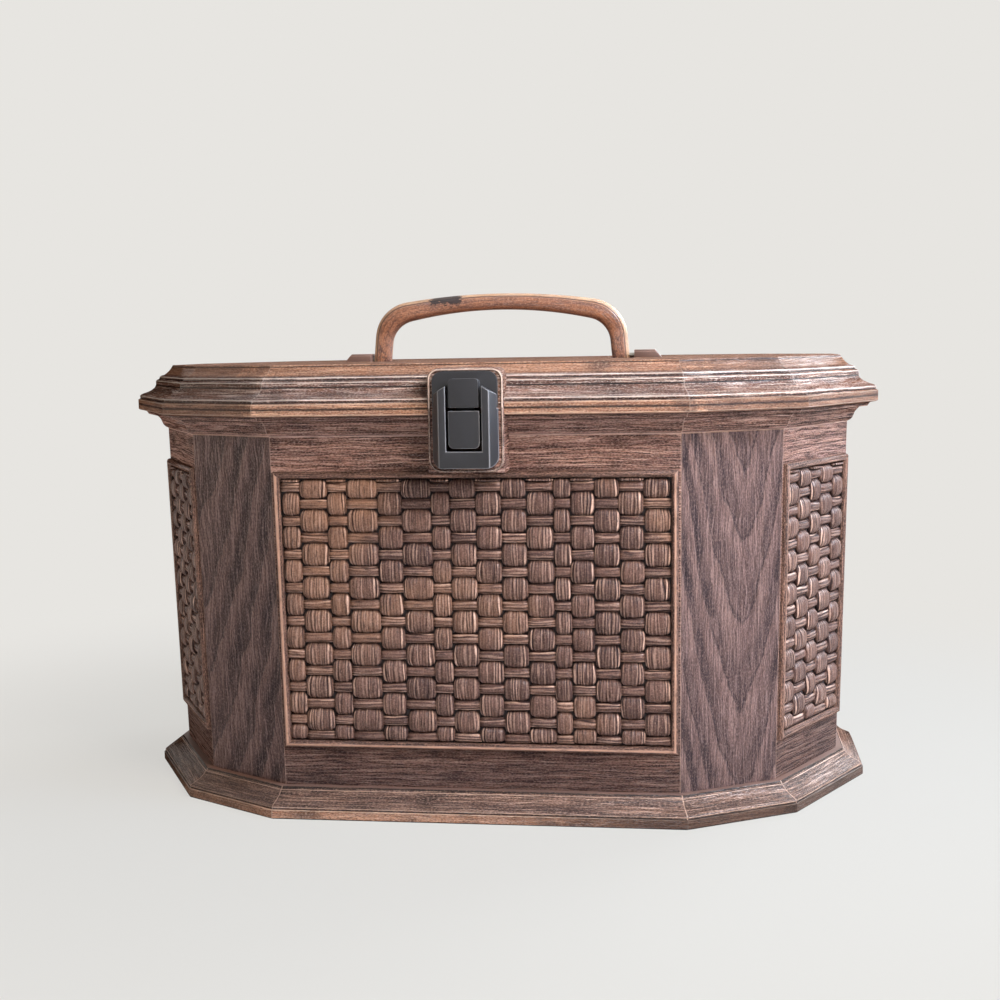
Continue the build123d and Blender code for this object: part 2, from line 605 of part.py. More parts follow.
# ---------------------------------------------------------------- tray
def tray():
    """Four compartments: one at each end, and two in the middle, behind one another."""
    flange_top = LEDGE + TRAY_FLANGE
    body = moulded(((TRAY_FLOOR_LOW, TRAY_FOOT), (LEDGE, TRAY_BROW)))
    outside = body + moulded(((LEDGE, TRAY_FLANGE_OUT), (flange_top, TRAY_FLANGE_OUT)))
    inside = moulded((
        (TRAY_FLOOR_LOW + TRAY_WALL, TRAY_FOOT - TRAY_WALL), (flange_top + 1, TRAY_BROW - TRAY_WALL)))
    half = TRAY_WALL / 2
    cells = (
        ((-THROUGH, -TRAY_END - half), (-THROUGH, THROUGH)),
        ((TRAY_END + half, THROUGH), (-THROUGH, THROUGH)),
        ((-TRAY_END + half, TRAY_END - half), (-THROUGH, -half)),
        ((-TRAY_END + half, TRAY_END - half), (half, THROUGH)),
    )
    solid = outside
    for x, y in cells:
        solid -= inside & box(x, y, (TRAY_FLOOR_LOW, flange_top + 2))
    for peg in peg_places():
        solid -= rod(peg, (0, 0, 1), PEG_RADIUS / 2, TRAY_WALL + 1)
    return solid


def peg_places():
    """Feet of the pegs, in a row along the back of the rear middle compartment."""
    first = -PEG_PITCH * (PEG_COUNT - 1) / 2
    return [Vector(first + PEG_PITCH * i, PEG_ROW, TRAY_FLOOR_LOW) for i in range(PEG_COUNT)]


def spool_pegs():
    pegs = []
    for place in peg_places():
        floor = place + Vector(0, 0, TRAY_WALL)
        pegs.append(rod(place, (0, 0, 1), PEG_RADIUS / 2, TRAY_WALL) + Solid.make_cone(
            PEG_RADIUS, PEG_RADIUS * 0.7, PEG_HEIGHT, Plane(origin=floor)))
    return pegs


def save(name, *solids):
    shape = solids[0] if len(solids) == 1 else Compound(children=list(solids))
    export_step(shape, f"parts/{name}.step")


def main():
    save("tub", tub())
    save("plinth", plinth())
    for index, place in WOVEN.items():
        save(f"woven_plaque_{place}", woven_plaque(index))
    save("lid_shell", lid_shell())
    save("latch_hasp", hasp())
    save("hasp_screws", *[screw(*s) for s in hasp_screws()])
    save("latch_housing", housing())
    save("housing_screws", *[screw(*s) for s in housing_screws()])
    save("latch_button", button())
    save("latch_spring", latch_spring())
    save("handle", handle())
    for side, word in ((-1, "left"), (1, "right")):
        save(f"handle_boss_{word}", bracket(side))
        save(f"handle_pin_{word}", handle_pin(side))
        save(f"hinge_leaf_lid_{word}", leaf(side, 1))
        save(f"hinge_leaf_tub_{word}", leaf(side, -1))
        save(f"hinge_pin_{word}", hinge_pin(side))
    save("handle_boss_screws", *[screw(*s) for side in (-1, 1) for s in bracket_screws(side)])
    save("hinge_screws_lid", *[screw(*s) for side in (-1, 1) for s in hinge_screws(side, 1)])
    save("hinge_screws_tub", *[screw(*s) for side in (-1, 1) for s in hinge_screws(side, -1)])
    save("tray", tray())
    save("spool_pegs", *spool_pegs())


main()
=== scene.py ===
"""Finishes of a twelve-sided sewing box: moulded wood-grain plastic, reed panels, latch and handle."""
import math
import random

import bmesh
import bpy
from mathutils import Matrix, Vector


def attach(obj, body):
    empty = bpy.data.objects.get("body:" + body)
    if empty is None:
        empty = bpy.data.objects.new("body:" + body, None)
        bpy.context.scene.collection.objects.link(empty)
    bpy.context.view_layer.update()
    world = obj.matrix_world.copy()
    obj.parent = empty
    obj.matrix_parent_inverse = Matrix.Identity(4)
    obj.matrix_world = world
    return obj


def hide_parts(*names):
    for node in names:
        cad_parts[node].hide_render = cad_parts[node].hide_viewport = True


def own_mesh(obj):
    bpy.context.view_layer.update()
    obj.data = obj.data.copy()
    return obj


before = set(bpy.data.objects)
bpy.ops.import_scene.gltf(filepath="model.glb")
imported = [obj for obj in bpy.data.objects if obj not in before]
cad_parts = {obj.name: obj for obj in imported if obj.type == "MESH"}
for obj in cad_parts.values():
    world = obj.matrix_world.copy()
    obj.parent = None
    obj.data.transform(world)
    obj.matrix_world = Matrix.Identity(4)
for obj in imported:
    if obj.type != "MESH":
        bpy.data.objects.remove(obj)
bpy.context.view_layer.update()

MM = 0.001

# ---------------------------------------------------------------- sizes, in millimetres
FACET_COUNT = 12
TURN = math.radians(360 / FACET_COUNT)
LONG_FACET = 186.8
SIDE_FACET = 68.1
PLAIN_FACET = 52.8
WOVEN = {0: "front", 2: "front_right", 4: "back_right", 6: "back", 8: "back_left", 10: "front_left"}

PLINTH_TOP = 12.8
FOOT_BAND_TOP = 4.6             # the plinth is copper below this
CASE_FLOOR_LOW = 2.5
CASE_FLOOR_TOP = 5.5
WALL_TOP = 176.9
LEDGE = 181.0
CASE_LIP_LOW = 186.5            # the copper band under the seam starts here
SEAM = 189.7
LID_LIP_TOP = 192.3             # and ends here
LID_CEILING = 206.3
LID_BROW = 204.3                # the lid's moulding is copper above this
LID_TOP = 209.3
WALL_LEAN = 4.07
WALL = 3.0
RIM_OUT = 14.27
MOUTH = 1.2
DRAFT = WALL_LEAN / (WALL_TOP - PLINTH_TOP)

# the woven panels
PLAQUE_LOW = 31.3
PLAQUE_HIGH = 160.9
PLAQUE_MIDDLE = (PLAQUE_LOW + PLAQUE_HIGH) / 2
PLAQUE_HALF = (PLAQUE_HIGH - PLAQUE_LOW) / 2
PLAQUE_MARGIN = 0.9
PLAQUE_LET_IN = 1.8
PLAQUE_PROUD = 2.4
FIELD_PROUD = -0.8
FRAME_WIDTH = 3.5

# the block behind the latch, and the pocket in it
PAD_HALF = 16.9
PAD_OUT = 14.9
PAD_LOW = 161.2
PAD_HIGH = 207.2
PAD_CORNER = 5.0
PAD_FOOT_CORNER = 6.0
CORNER_STEPS = 6
PAD_ROOT = 1.5                  # a pad starts this far inside the wall
POCKET_HALF = 8.6
POCKET_LOW = 168.0
POCKET_FLOOR = 4.0

# the handle, and the slots that its legs swing in
PIVOT_HEIGHT = 210.4
HANDLE_SLID = -1.0
EYE_RADIUS = 3.8
GRIP_HALF_DEPTH = 6.0
LEG_THIN_TO = 222.0
LEG_THICKENS_OVER = 10.0
LEG_SLOT_INNER = 55.5
LEG_SLOT_HALF = 15.0
LEG_SLOT_FLOOR = 206.1
BOSS_INNER = 68.7
BOSS_OUTER = 82.4
MOUNT_BLOCK_LOW = 201.0
MOUNT_BLOCK_WALL = 2.5

# the blocks behind the hinges
HINGE_X = 58.0
HINGE_PAD_HALF = 22.0
HINGE_PAD_LOW = 161.5
HINGE_PAD_HIGH = 206.0
HINGE_PAD_WALL = 0.5            # its slopes start this far out of the wall
HINGE_SLOPE_LOW = 8.5
HINGE_SLOPE_HIGH = 1.5

OVERLAP = 1.0                   # a cutter runs this far past what it cuts

# ---------------------------------------------------------------- colours, as sRGB
COPPER = (214, 168, 138)
REED = (106, 78, 69)
REED_DEEP = (72, 52, 49)
REED_WARM = (154, 113, 88)
# The dark of the painted shade on and under the reeds, also of their grooves, hair lines and specks.
REED_SHADE = (38, 26, 27)
# Pale cane for flecks, and the colour of the painted highlights along the strands.
REED_PALE_AND_HIGHLIGHT = (204, 166, 146)
GRIP_BROWN = (148, 99, 76)
GRIP_WARM = (180, 123, 90)
GRIP_MOTTLE = (86, 57, 50)
GRIP_PORE = (84, 57, 49)
GRIP_FLECK = (214, 166, 136)
# Pale ridge of the grip: wear, and a painted highlight on top.
GRIP_WORN_AND_HIGHLIGHT = (228, 184, 144)
GRIP_PARTING = (84, 56, 45)
GRIP_SCUFF = (40, 29, 26)
LATCH_BLACK = (38, 37, 40)
LATCH_SHADE = (40, 38, 41)
# Rubbed grey of the latch's bevels, partly a painted highlight.
LATCH_WORN_AND_HIGHLIGHT = (112, 109, 110)
INSIDE_TAN = (118, 86, 72)
INSIDE_SHADE = (84, 60, 50)
BOSS_SHADE = (66, 47, 42)
BOSS_WORN = (186, 144, 120)
BED_SHADE = (30, 22, 21)
TRAY_TAN = (176, 142, 112)
TRAY_SHADE = (150, 118, 92)
STEEL = (170, 166, 158)
TARNISH = (96, 84, 70)
# Grime, and the painted shade in the hollows of the mouldings.
GRIME_AND_SHADE = (22, 16, 15)
PANEL_RIDGE = (164, 136, 128)
STUDIO_PALE = (231, 229, 225)
STUDIO_SHADED = (180, 178, 172)


def linear(rgb):
    """An sRGB colour of 0-255 as the linear RGBA that a socket takes."""
    channels = [c / 255 for c in rgb]
    return (*[c / 12.92 if c <= 0.04045 else ((c + 0.055) / 1.055) ** 2.4 for c in channels], 1)


# ---------------------------------------------------------------- plan of the case
def normal(index):
    return Vector((math.sin(TURN * index), -math.cos(TURN * index), 0))


def facet_length(index):
    if index % 2:
        return PLAIN_FACET
    return LONG_FACET if is_long(index) else SIDE_FACET


def is_long(index):
    """Whether a facet is the front or the back one."""
    return index % 6 == 0


def plan_corners():
    """The wall's corners at its top, each at the end of the facet with the same number."""
    depth = sum(facet_length(i) * math.sin(TURN * i) for i in range(1, 6))
    corners = [Vector((LONG_FACET / 2, -depth / 2, 0))]
    for i in range(1, FACET_COUNT):
        along = Vector((math.cos(TURN * i), math.sin(TURN * i), 0))
        corners.append(corners[-1] + along * facet_length(i))
    return corners


CORNERS = plan_corners()
HALF_DEPTH = -CORNERS[0].y


def ring(offset, z):
    """The plan's corners, moved outwards by offset, at height z."""
    reach = offset / (1 + math.cos(TURN))
    moved = [c + (normal(i) + normal(i + 1)) * reach for i, c in enumerate(CORNERS)]
    return [Vector((p.x, p.y, z)) for p in moved]


def wall_offset(z):
    return -DRAFT * (WALL_TOP - z)


def add_object(name, data):
    piece = bpy.data.objects.new(name, data)
    bpy.context.scene.collection.objects.link(piece)
    return piece


# ---------------------------------------------------------------- node trees
class Nodes:
    """Short ways to place and join the nodes of one tree."""

    def __init__(self, tree):
        self.tree = tree

    def join(self, source, socket):
        if isinstance(source, bpy.types.NodeSocket):
            self.tree.links.new(source, socket)
        elif source is not None:
            socket.default_value = source

    def add(self, kind, *sources, **settings):
        """A node with its settings, and with the sources on its first inputs."""
        node = self.tree.nodes.new(kind)
        for key, value in settings.items():
            setattr(node, key, value)
        for source, socket in zip(sources, node.inputs):
            self.join(source, socket)
        return node

    def feed(self, node, **sources):
        """Joins the sources to the inputs of those names. Returns the node."""
        for label, source in sources.items():
            self.join(source, node.inputs[label])
        return node

    def math(self, operation, *sources, clamp=False):
        return self.add("ShaderNodeMath", *sources, operation=operation, use_clamp=clamp).outputs[0]

    def times(self, *factors):
        product = factors[0]
        for factor in factors[1:]:
            product = self.math("MULTIPLY", product, factor)
        return product

    def plus(self, a, b):
        return self.math("ADD", a, b)

    def minus(self, a, b):
        return self.math("SUBTRACT", a, b)

    def scaled(self, value, factor, extra):
        """value x factor + extra."""
        return self.math("MULTIPLY_ADD", value, factor, extra)

    def size(self, value):
        return self.math("ABSOLUTE", value)

    def noise(self, vector, scale, detail, roughness):
        node = self.add("ShaderNodeTexNoise")
        return self.feed(node, Vector=vector, Scale=scale, Detail=detail, Roughness=roughness).outputs["Fac"]

    def drawn_noise(self, vector, scale, detail, roughness, offset=(0, 0, 0), fineness=1.0):
        """Noise with its own scale along each axis of the vector."""
        node = self.add("ShaderNodeMapping", vector)
        node.inputs["Scale"].default_value = scale
        node.inputs["Location"].default_value = offset
        return self.noise(node.outputs["Vector"], fineness, detail, roughness)

    def ramp(self, value, low, high, out_low=0.0, out_high=1.0):
        node = self.add("ShaderNodeMapRange", value, low, high, out_low, out_high,
                        interpolation_type="SMOOTHSTEP")
        return node.outputs["Result"]

    def split(self, vector):
        return self.add("ShaderNodeSeparateXYZ", vector).outputs

    def combine(self, *parts):
        return self.add("ShaderNodeCombineXYZ", *parts).outputs[0]

    def uv(self, name):
        return self.add("ShaderNodeUVMap", uv_map=name).outputs[0]

    def attribute(self, name):
        return self.add("ShaderNodeAttribute", attribute_name=name).outputs["Fac"]

    def place(self):
        return self.add("ShaderNodeTexCoord").outputs["Object"]

    def mix(self, factor, a, b):
        node = self.feed(self.add("ShaderNodeMix", data_type="RGBA"), Factor=factor, A=a, B=b)
        return next(s for s in node.outputs if s.type == "RGBA")

    def paint(self, tone, *coats):
        """Lays coats of (share, colour) over the tone, one after another."""
        for share, colour in coats:
            tone = self.mix(share, tone, linear(colour))
        return tone

    def group(self, tree, **inputs):
        return self.feed(self.add("ShaderNodeGroup", node_tree=tree), **inputs).outputs

    def mix_shader(self, share, first, second):
        return self.add("ShaderNodeMixShader", share, first, second).outputs[0]

    def seen_straight(self):
        """1 for what is seen straight, in a mirror or through glass, and 0 for what only gives light."""
        path = self.add("ShaderNodeLightPath").outputs
        straight = self.math("MAXIMUM", path["Is Camera Ray"], path["Is Transmission Ray"])
        return self.math("MAXIMUM", straight, path["Is Glossy Ray"])


def new_tree(name, kind, inputs, outputs):
    """A tree with named sockets. Returns it with its node helper, its inputs and its outputs."""
    tree = bpy.data.node_groups.new(name, kind)
    for label, (socket_kind, value) in inputs.items():
        socket = tree.interface.new_socket(name=label, in_out="INPUT", socket_type="NodeSocket" + socket_kind)
        if value is not None:
            socket.default_value = value
    for label, socket_kind in outputs.items():
        tree.interface.new_socket(name=label, in_out="OUTPUT", socket_type="NodeSocket" + socket_kind)
    n = Nodes(tree)
    return tree, n, n.add("NodeGroupInput").outputs, n.add("NodeGroupOutput").inputs


def new_effect(name, inputs, outputs):
    """A shader group. An input of None is a vector, and any other is a float, as the outputs are."""
    kinds = {label: ("Float", value) for label, value in inputs.items()}
    kinds.update({label: ("Vector", None) for label, value in inputs.items() if value is None})
    return new_tree(name, "ShaderNodeTree", kinds, {label: "Float" for label in outputs})


def wood_grain_effect():
    """Long pores and pale ridges along X of the grain map, over slow bands and blotches."""
    tree, n, given, made = new_effect("wood_grain", {"Vector": None, "Wander": 0.035, "Fineness": 1.0},
                                      ("Pores", "Ridges", "Bands", "Blotch", "Pits", "Flecks"))
    place, fineness = given["Vector"], given["Fineness"]
    bend = n.drawn_noise(place, (2.6, 9.0, 1.0), 2.0, 0.5)
    aside = n.combine(None, n.times(n.minus(bend, 0.5), given["Wander"]))
    bent = n.add("ShaderNodeVectorMath", place, aside, operation="ADD").outputs[0]
    fine = n.drawn_noise(bent, (7.0, 230.0, 1.0), 3.0, 0.7, fineness=fineness)
    coarse = n.drawn_noise(bent, (1.7, 95.0, 1.0), 3.0, 0.62, (7, 3, 0), fineness)
    streak = n.plus(n.times(fine, 0.58), n.times(coarse, 0.42))
    stipple = n.drawn_noise(place, (80.0, 190.0, 1.0), 2.0, 0.65)
    n.join(n.ramp(streak, 0.505, 0.54), made["Pores"])
    n.join(n.ramp(streak, 0.475, 0.43), made["Ridges"])
    n.join(n.drawn_noise(bent, (1.4, 22.0, 1.0), 3.0, 0.6, (1, 9, 0)), made["Bands"])
    n.join(n.drawn_noise(bent, (3.4, 8.0, 1.0), 4.0, 0.6, (4, 2, 0)), made["Blotch"])
    n.join(n.ramp(stipple, 0.47, 0.38), made["Pits"])
    n.join(n.ramp(stipple, 0.53, 0.62), made["Flecks"])
    return tree


def edge_marks_and_light_effect():
    """Rub marks on crests and mitres, partly painted highlights, and darkening in hollows, partly grime and
    partly painted shade, from the edge map.
    """
    tree, n, given, made = new_effect("edge_marks_and_light", {"Vector": None, "Amount": 1.0, "Mitre": 0.45},
                                      ("Wear_and_highlight", "Grime_and_shade"))
    edge = n.split(n.uv("edge"))
    patchy = n.drawn_noise(given["Vector"], (14.0, 40.0, 1.0), 4.0, 0.6)
    # Crests and mitres go pale: rub marks, and painted highlights where a rounded edge would catch the light.
    crest = n.ramp(edge["Y"], 0.35, 0.8)
    mitre = n.times(n.ramp(edge["X"], 0.05, 0.45, 1.0, 0.0), given["Mitre"])
    wear_and_light = n.times(n.math("MAXIMUM", crest, mitre), n.ramp(patchy, 0.3, 0.5, 0.5, 1.0))
    n.join(n.math("MULTIPLY", wear_and_light, given["Amount"], clamp=True), made["Wear_and_highlight"])
    ragged = n.drawn_noise(given["Vector"], (40.0, 260.0, 1.0), 4.0, 0.65)
    # Hollows darken: grime, and painted shade under mouldings and in creases.
    hollow = n.times(edge["Y"], n.scaled(ragged, 1.6, 0.2))
    n.join(n.ramp(hollow, -0.2, -0.55), made["Grime_and_shade"])
    return tree


def shade_and_stain_effect():
    """A darkening with ragged edges that starts some way from one place along X: painted shade on facets
    turned from the light, and some discolouring.
    """
    tree, n, given, made = new_effect(
        "shade_and_stain", {"Place": None, "Middle": 0.0, "Near": 0.1, "Far": 0.2, "Share": 0.5}, ("Shade_and_stain",))
    patches = n.noise(given["Place"], 90.0, 4.0, 0.7)
    aside = n.size(n.minus(n.split(given["Place"])["X"], given["Middle"]))
    aside = n.plus(aside, n.scaled(patches, 0.12, -0.06))
    n.join(n.ramp(aside, given["Near"], given["Far"], 0.0, given["Share"]), made["Shade_and_stain"])
    return tree


def board_arches_effect():
    """Nested arches of a board: broad late wood, and the thin line that ends each ring."""
    tree, n, given, made = new_effect("board_arches", {"Vector": None}, ("Late", "Line"))
    place = given["Vector"]
    parts = n.split(place)
    wander = n.minus(n.drawn_noise(place, (5.0, 2.4, 1.0), 3.0, 0.5), 0.5)
    rough = n.minus(n.drawn_noise(place, (60.0, 22.0, 1.0), 3.0, 0.6), 0.5)
    aside = n.math("PINGPONG", parts["X"], BOARD_STEP / 2)
    level = n.minus(parts["Y"], n.times(n.math("POWER", aside, 1.35), 5.5))
    level = n.plus(level, n.scaled(wander, 0.42, n.times(rough, 0.06)))
    rings = n.math("FRACT", n.times(level, 2.5))
    n.join(n.times(n.ramp(rings, 0.34, 0.8, 1.0, 0.0), n.ramp(rings, 0.0, 0.16),
                   n.ramp(aside, 0.06, 0.24, 0.6, 1.0)), made["Late"])
    n.join(n.times(n.ramp(rings, 0.0, 0.05), n.ramp(rings, 0.08, 0.2, 0.8, 0.0)), made["Line"])
    return tree


def moulded_texture_effect():
    """The fine spark-eroded texture of moulded plastic, and its slow changes of tone."""
    tree, n, given, made = new_effect("moulded_texture", {"Place": None}, ("Speck", "Cloud"))
    n.join(n.noise(given["Place"], 900.0, 3.0, 0.6), made["Speck"])
    n.join(n.noise(given["Place"], 26.0, 3.0, 0.6), made["Cloud"])
    return tree


BOARD_STEP = 3.1                # distance between the boards' places on the grain map
WOOD_GRAIN = wood_grain_effect()
EDGE_MARKS_AND_LIGHT = edge_marks_and_light_effect()
SHADE_AND_STAIN = shade_and_stain_effect()
BOARD_ARCHES = board_arches_effect()
MOULDED_TEXTURE = moulded_texture_effect()


# ---------------------------------------------------------------- materials
FINE_GRAIN_DULLS = (0.6, 0.86)  # a facet's sheen fades from the one to the other, where 1 is edge on
GRIP_PARTING_LINE = 5.8         # round the grip from its outer ridge, in millimetres
SCUFF_MIDDLE = -0.0285
SCUFF_HALF = 0.0092
SCUFF_LOW = 0.2376
RUBBED_PLACE = (-0.045, -0.09, 0.128)    # middle of the front weave's rubbed patch
REED_SHEEN = 0.14
STRANDS_PER_DM = 66
WOOD_BUMP = (0.9, 0.0005)       # strength and depth, in metres


def new_material(name, roughness, specular=0.3):
    """A material with the helper that places its nodes, and its Principled shader."""
    material = bpy.data.materials.new(name)
    material.use_nodes = True
    shader = material.node_tree.nodes["Principled BSDF"]
    shader.inputs["Roughness"].default_value = roughness
    shader.inputs["Specular IOR Level"].default_value = specular
    return material, Nodes(material.node_tree), shader.inputs


def dull_edge_on(n, shader, sheen, low, high):
    """Sheen that fades where a facet is seen edge on, as on a plastic with a fine all-over texture."""
    facing = n.add("ShaderNodeLayerWeight").outputs["Facing"]
    n.join(n.ramp(facing, low, high, sheen, 0.0), shader["Specular IOR Level"])


def bump(n, shader, height, strength, distance):
    node = n.feed(n.add("ShaderNodeBump"), Strength=strength, Distance=distance, Height=height)
    n.join(node.outputs[0], shader["Normal"])


def rail_wood(name, base, dark, warm, wear_and_light, wear=1.0, pores=0.6, ridges=0.3, mitre=0.45, shine=0.2,
              shade_low_down=0.0, dull=FINE_GRAIN_DULLS, shade_and_stain=None):
    """Wood-grain plastic with the grain along the rail, rubbed to copper on crests and mitres, partly as
    painted highlights.

    It is darker low down, as painted shade. The last argument gives the inputs of the group that darkens it
    away from one place along X, as painted shade and some discolouring.
    """
    material, n, shader = new_material(name, 0.45, shine)
    grain_map, place = n.uv("grain"), n.place()
    grain = n.group(WOOD_GRAIN, Vector=grain_map)
    edges = n.group(EDGE_MARKS_AND_LIGHT, Vector=grain_map, Amount=wear, Mitre=mitre)
    tone = n.mix(n.ramp(grain["Bands"], 0.35, 0.7), linear(base), linear(warm))
    tone = n.paint(
        tone,
        (n.times(grain["Ridges"], ridges), wear_and_light),
        (n.ramp(grain["Blotch"], 0.5, 0.72, 0.0, 0.65), dark),
        (n.times(grain["Pores"], pores), dark),
        (n.times(grain["Flecks"], 0.34), wear_and_light),
        (n.times(grain["Pits"], 0.55), dark),
        # Painted shade: darker towards the bottom.
        (n.ramp(n.split(place)["Z"], 0.01, 0.17, shade_low_down, 0.0), dark),
        # Grime and painted shade in the hollows.
        (n.times(edges["Grime_and_shade"], 0.9), GRIME_AND_SHADE),
        # Rub marks and painted highlights on crests and mitres.
        (n.times(edges["Wear_and_highlight"], 0.95), wear_and_light))
    # Painted shade on the facets turned from the light, with some discolouring, away from one place along X.
    if shade_and_stain:
        tone = n.paint(tone, (n.group(SHADE_AND_STAIN, Place=place, **shade_and_stain)["Shade_and_stain"], dark))
    n.join(tone, shader["Base Color"])
    n.join(n.scaled(grain["Pores"], 0.2, n.scaled(edges["Wear_and_highlight"], -0.12, 0.4)), shader["Roughness"])
    dull_edge_on(n, shader, shine, *dull)
    relief = n.scaled(grain["Bands"], 0.4, n.times(grain["Ridges"], 0.5))
    bump(n, shader, n.minus(relief, grain["Pores"]), *WOOD_BUMP)
    return material


def board_wood(name, base, dark, warm, shine):
    """Boards with nested arches over long upright pores."""
    material, n, shader = new_material(name, 0.45, shine)
    grain_map = n.uv("grain")
    arches = n.group(BOARD_ARCHES, Vector=grain_map)
    upright = n.add("ShaderNodeMapping", grain_map)
    upright.inputs["Rotation"].default_value = (0, 0, math.pi / 2)
    grain = n.group(WOOD_GRAIN, Vector=upright.outputs[0], Wander=0.06, Fineness=1.35)
    edges = n.group(EDGE_MARKS_AND_LIGHT, Vector=grain_map, Amount=0.6)
    late = n.times(arches["Late"], n.ramp(grain["Blotch"], 0.36, 0.6, 0.5, 1.0))
    line = n.math("MAXIMUM", late, arches["Line"])
    tone = n.mix(n.ramp(grain["Bands"], 0.3, 0.7), linear(base), linear(warm))
    tone = n.paint(
        tone,
        (n.times(line, 0.92), dark),
        (n.times(grain["Ridges"], 0.26), PANEL_RIDGE),
        (n.times(grain["Pores"], 0.45), dark),
        (n.times(grain["Flecks"], 0.26), PANEL_RIDGE),
        (n.times(grain["Pits"], 0.3), dark),
        (n.times(edges["Wear_and_highlight"], 0.6), COPPER))
    n.join(tone, shader["Base Color"])
    n.join(n.scaled(grain["Pores"], 0.2, 0.36), shader["Roughness"])
    dull_edge_on(n, shader, shine, *FINE_GRAIN_DULLS)
    relief = n.plus(n.times(line, 0.5), n.times(grain["Pores"], 0.7))
    bump(n, shader, n.times(relief, -1.0), *WOOD_BUMP)
    return material


def grip_wood():
    """Copper-brown grip, paler along its outer ridge as wear and a painted highlight, with its mould's
    parting line and one dark scuff.
    """
    material, n, shader = new_material("handle_wood", 0.4, 0.4)
    place = n.place()
    girth, parts = n.split(n.uv("edge")), n.split(place)
    grain = n.group(WOOD_GRAIN, Vector=n.uv("grain"))
    mottle = n.ramp(n.noise(place, 420.0, 3.0, 0.65), 0.46, 0.62)
    foot = n.ramp(parts["Z"], 0.236, 0.214, 0.35, 0.85)
    # The outer ridge goes pale: wear, and a painted highlight where light from above catches the top.
    wear_and_light = n.times(girth["Y"], n.ramp(grain["Blotch"], 0.3, 0.6, 1.0, 0.45))
    parting = n.ramp(n.size(n.minus(girth["X"], GRIP_PARTING_LINE)), 0.2, 0.6, 0.9, 0.0)
    ragged = n.scaled(n.drawn_noise(place, (420.0, 900.0, 900.0), 4.0, 0.65), 0.012, -0.006)
    along = n.size(n.minus(n.plus(parts["X"], ragged), SCUFF_MIDDLE))
    scuff = n.times(n.ramp(along, SCUFF_HALF, SCUFF_HALF - 0.002),
                    n.ramp(n.plus(parts["Z"], ragged), SCUFF_LOW, SCUFF_LOW + 0.001))
    tone = n.mix(n.ramp(grain["Bands"], 0.35, 0.7), linear(GRIP_BROWN), linear(GRIP_WARM))
    tone = n.paint(
        tone,
        (n.times(mottle, foot), GRIP_MOTTLE),
        (n.times(grain["Pores"], 0.6), GRIP_PORE),
        (n.times(grain["Pits"], 0.4), GRIP_PORE),
        (n.times(grain["Flecks"], 0.3), GRIP_FLECK),
        (n.times(wear_and_light, 0.9), GRIP_WORN_AND_HIGHLIGHT),
        (parting, GRIP_PARTING),
        (n.times(scuff, 0.95), GRIP_SCUFF))
    n.join(tone, shader["Base Color"])
    n.join(n.scaled(scuff, 0.3, n.scaled(grain["Pores"], 0.15, 0.34)), shader["Roughness"])
    bump(n, shader, n.minus(n.times(parting, -1.2), grain["Pores"]), 0.5, 0.0003)
    return material


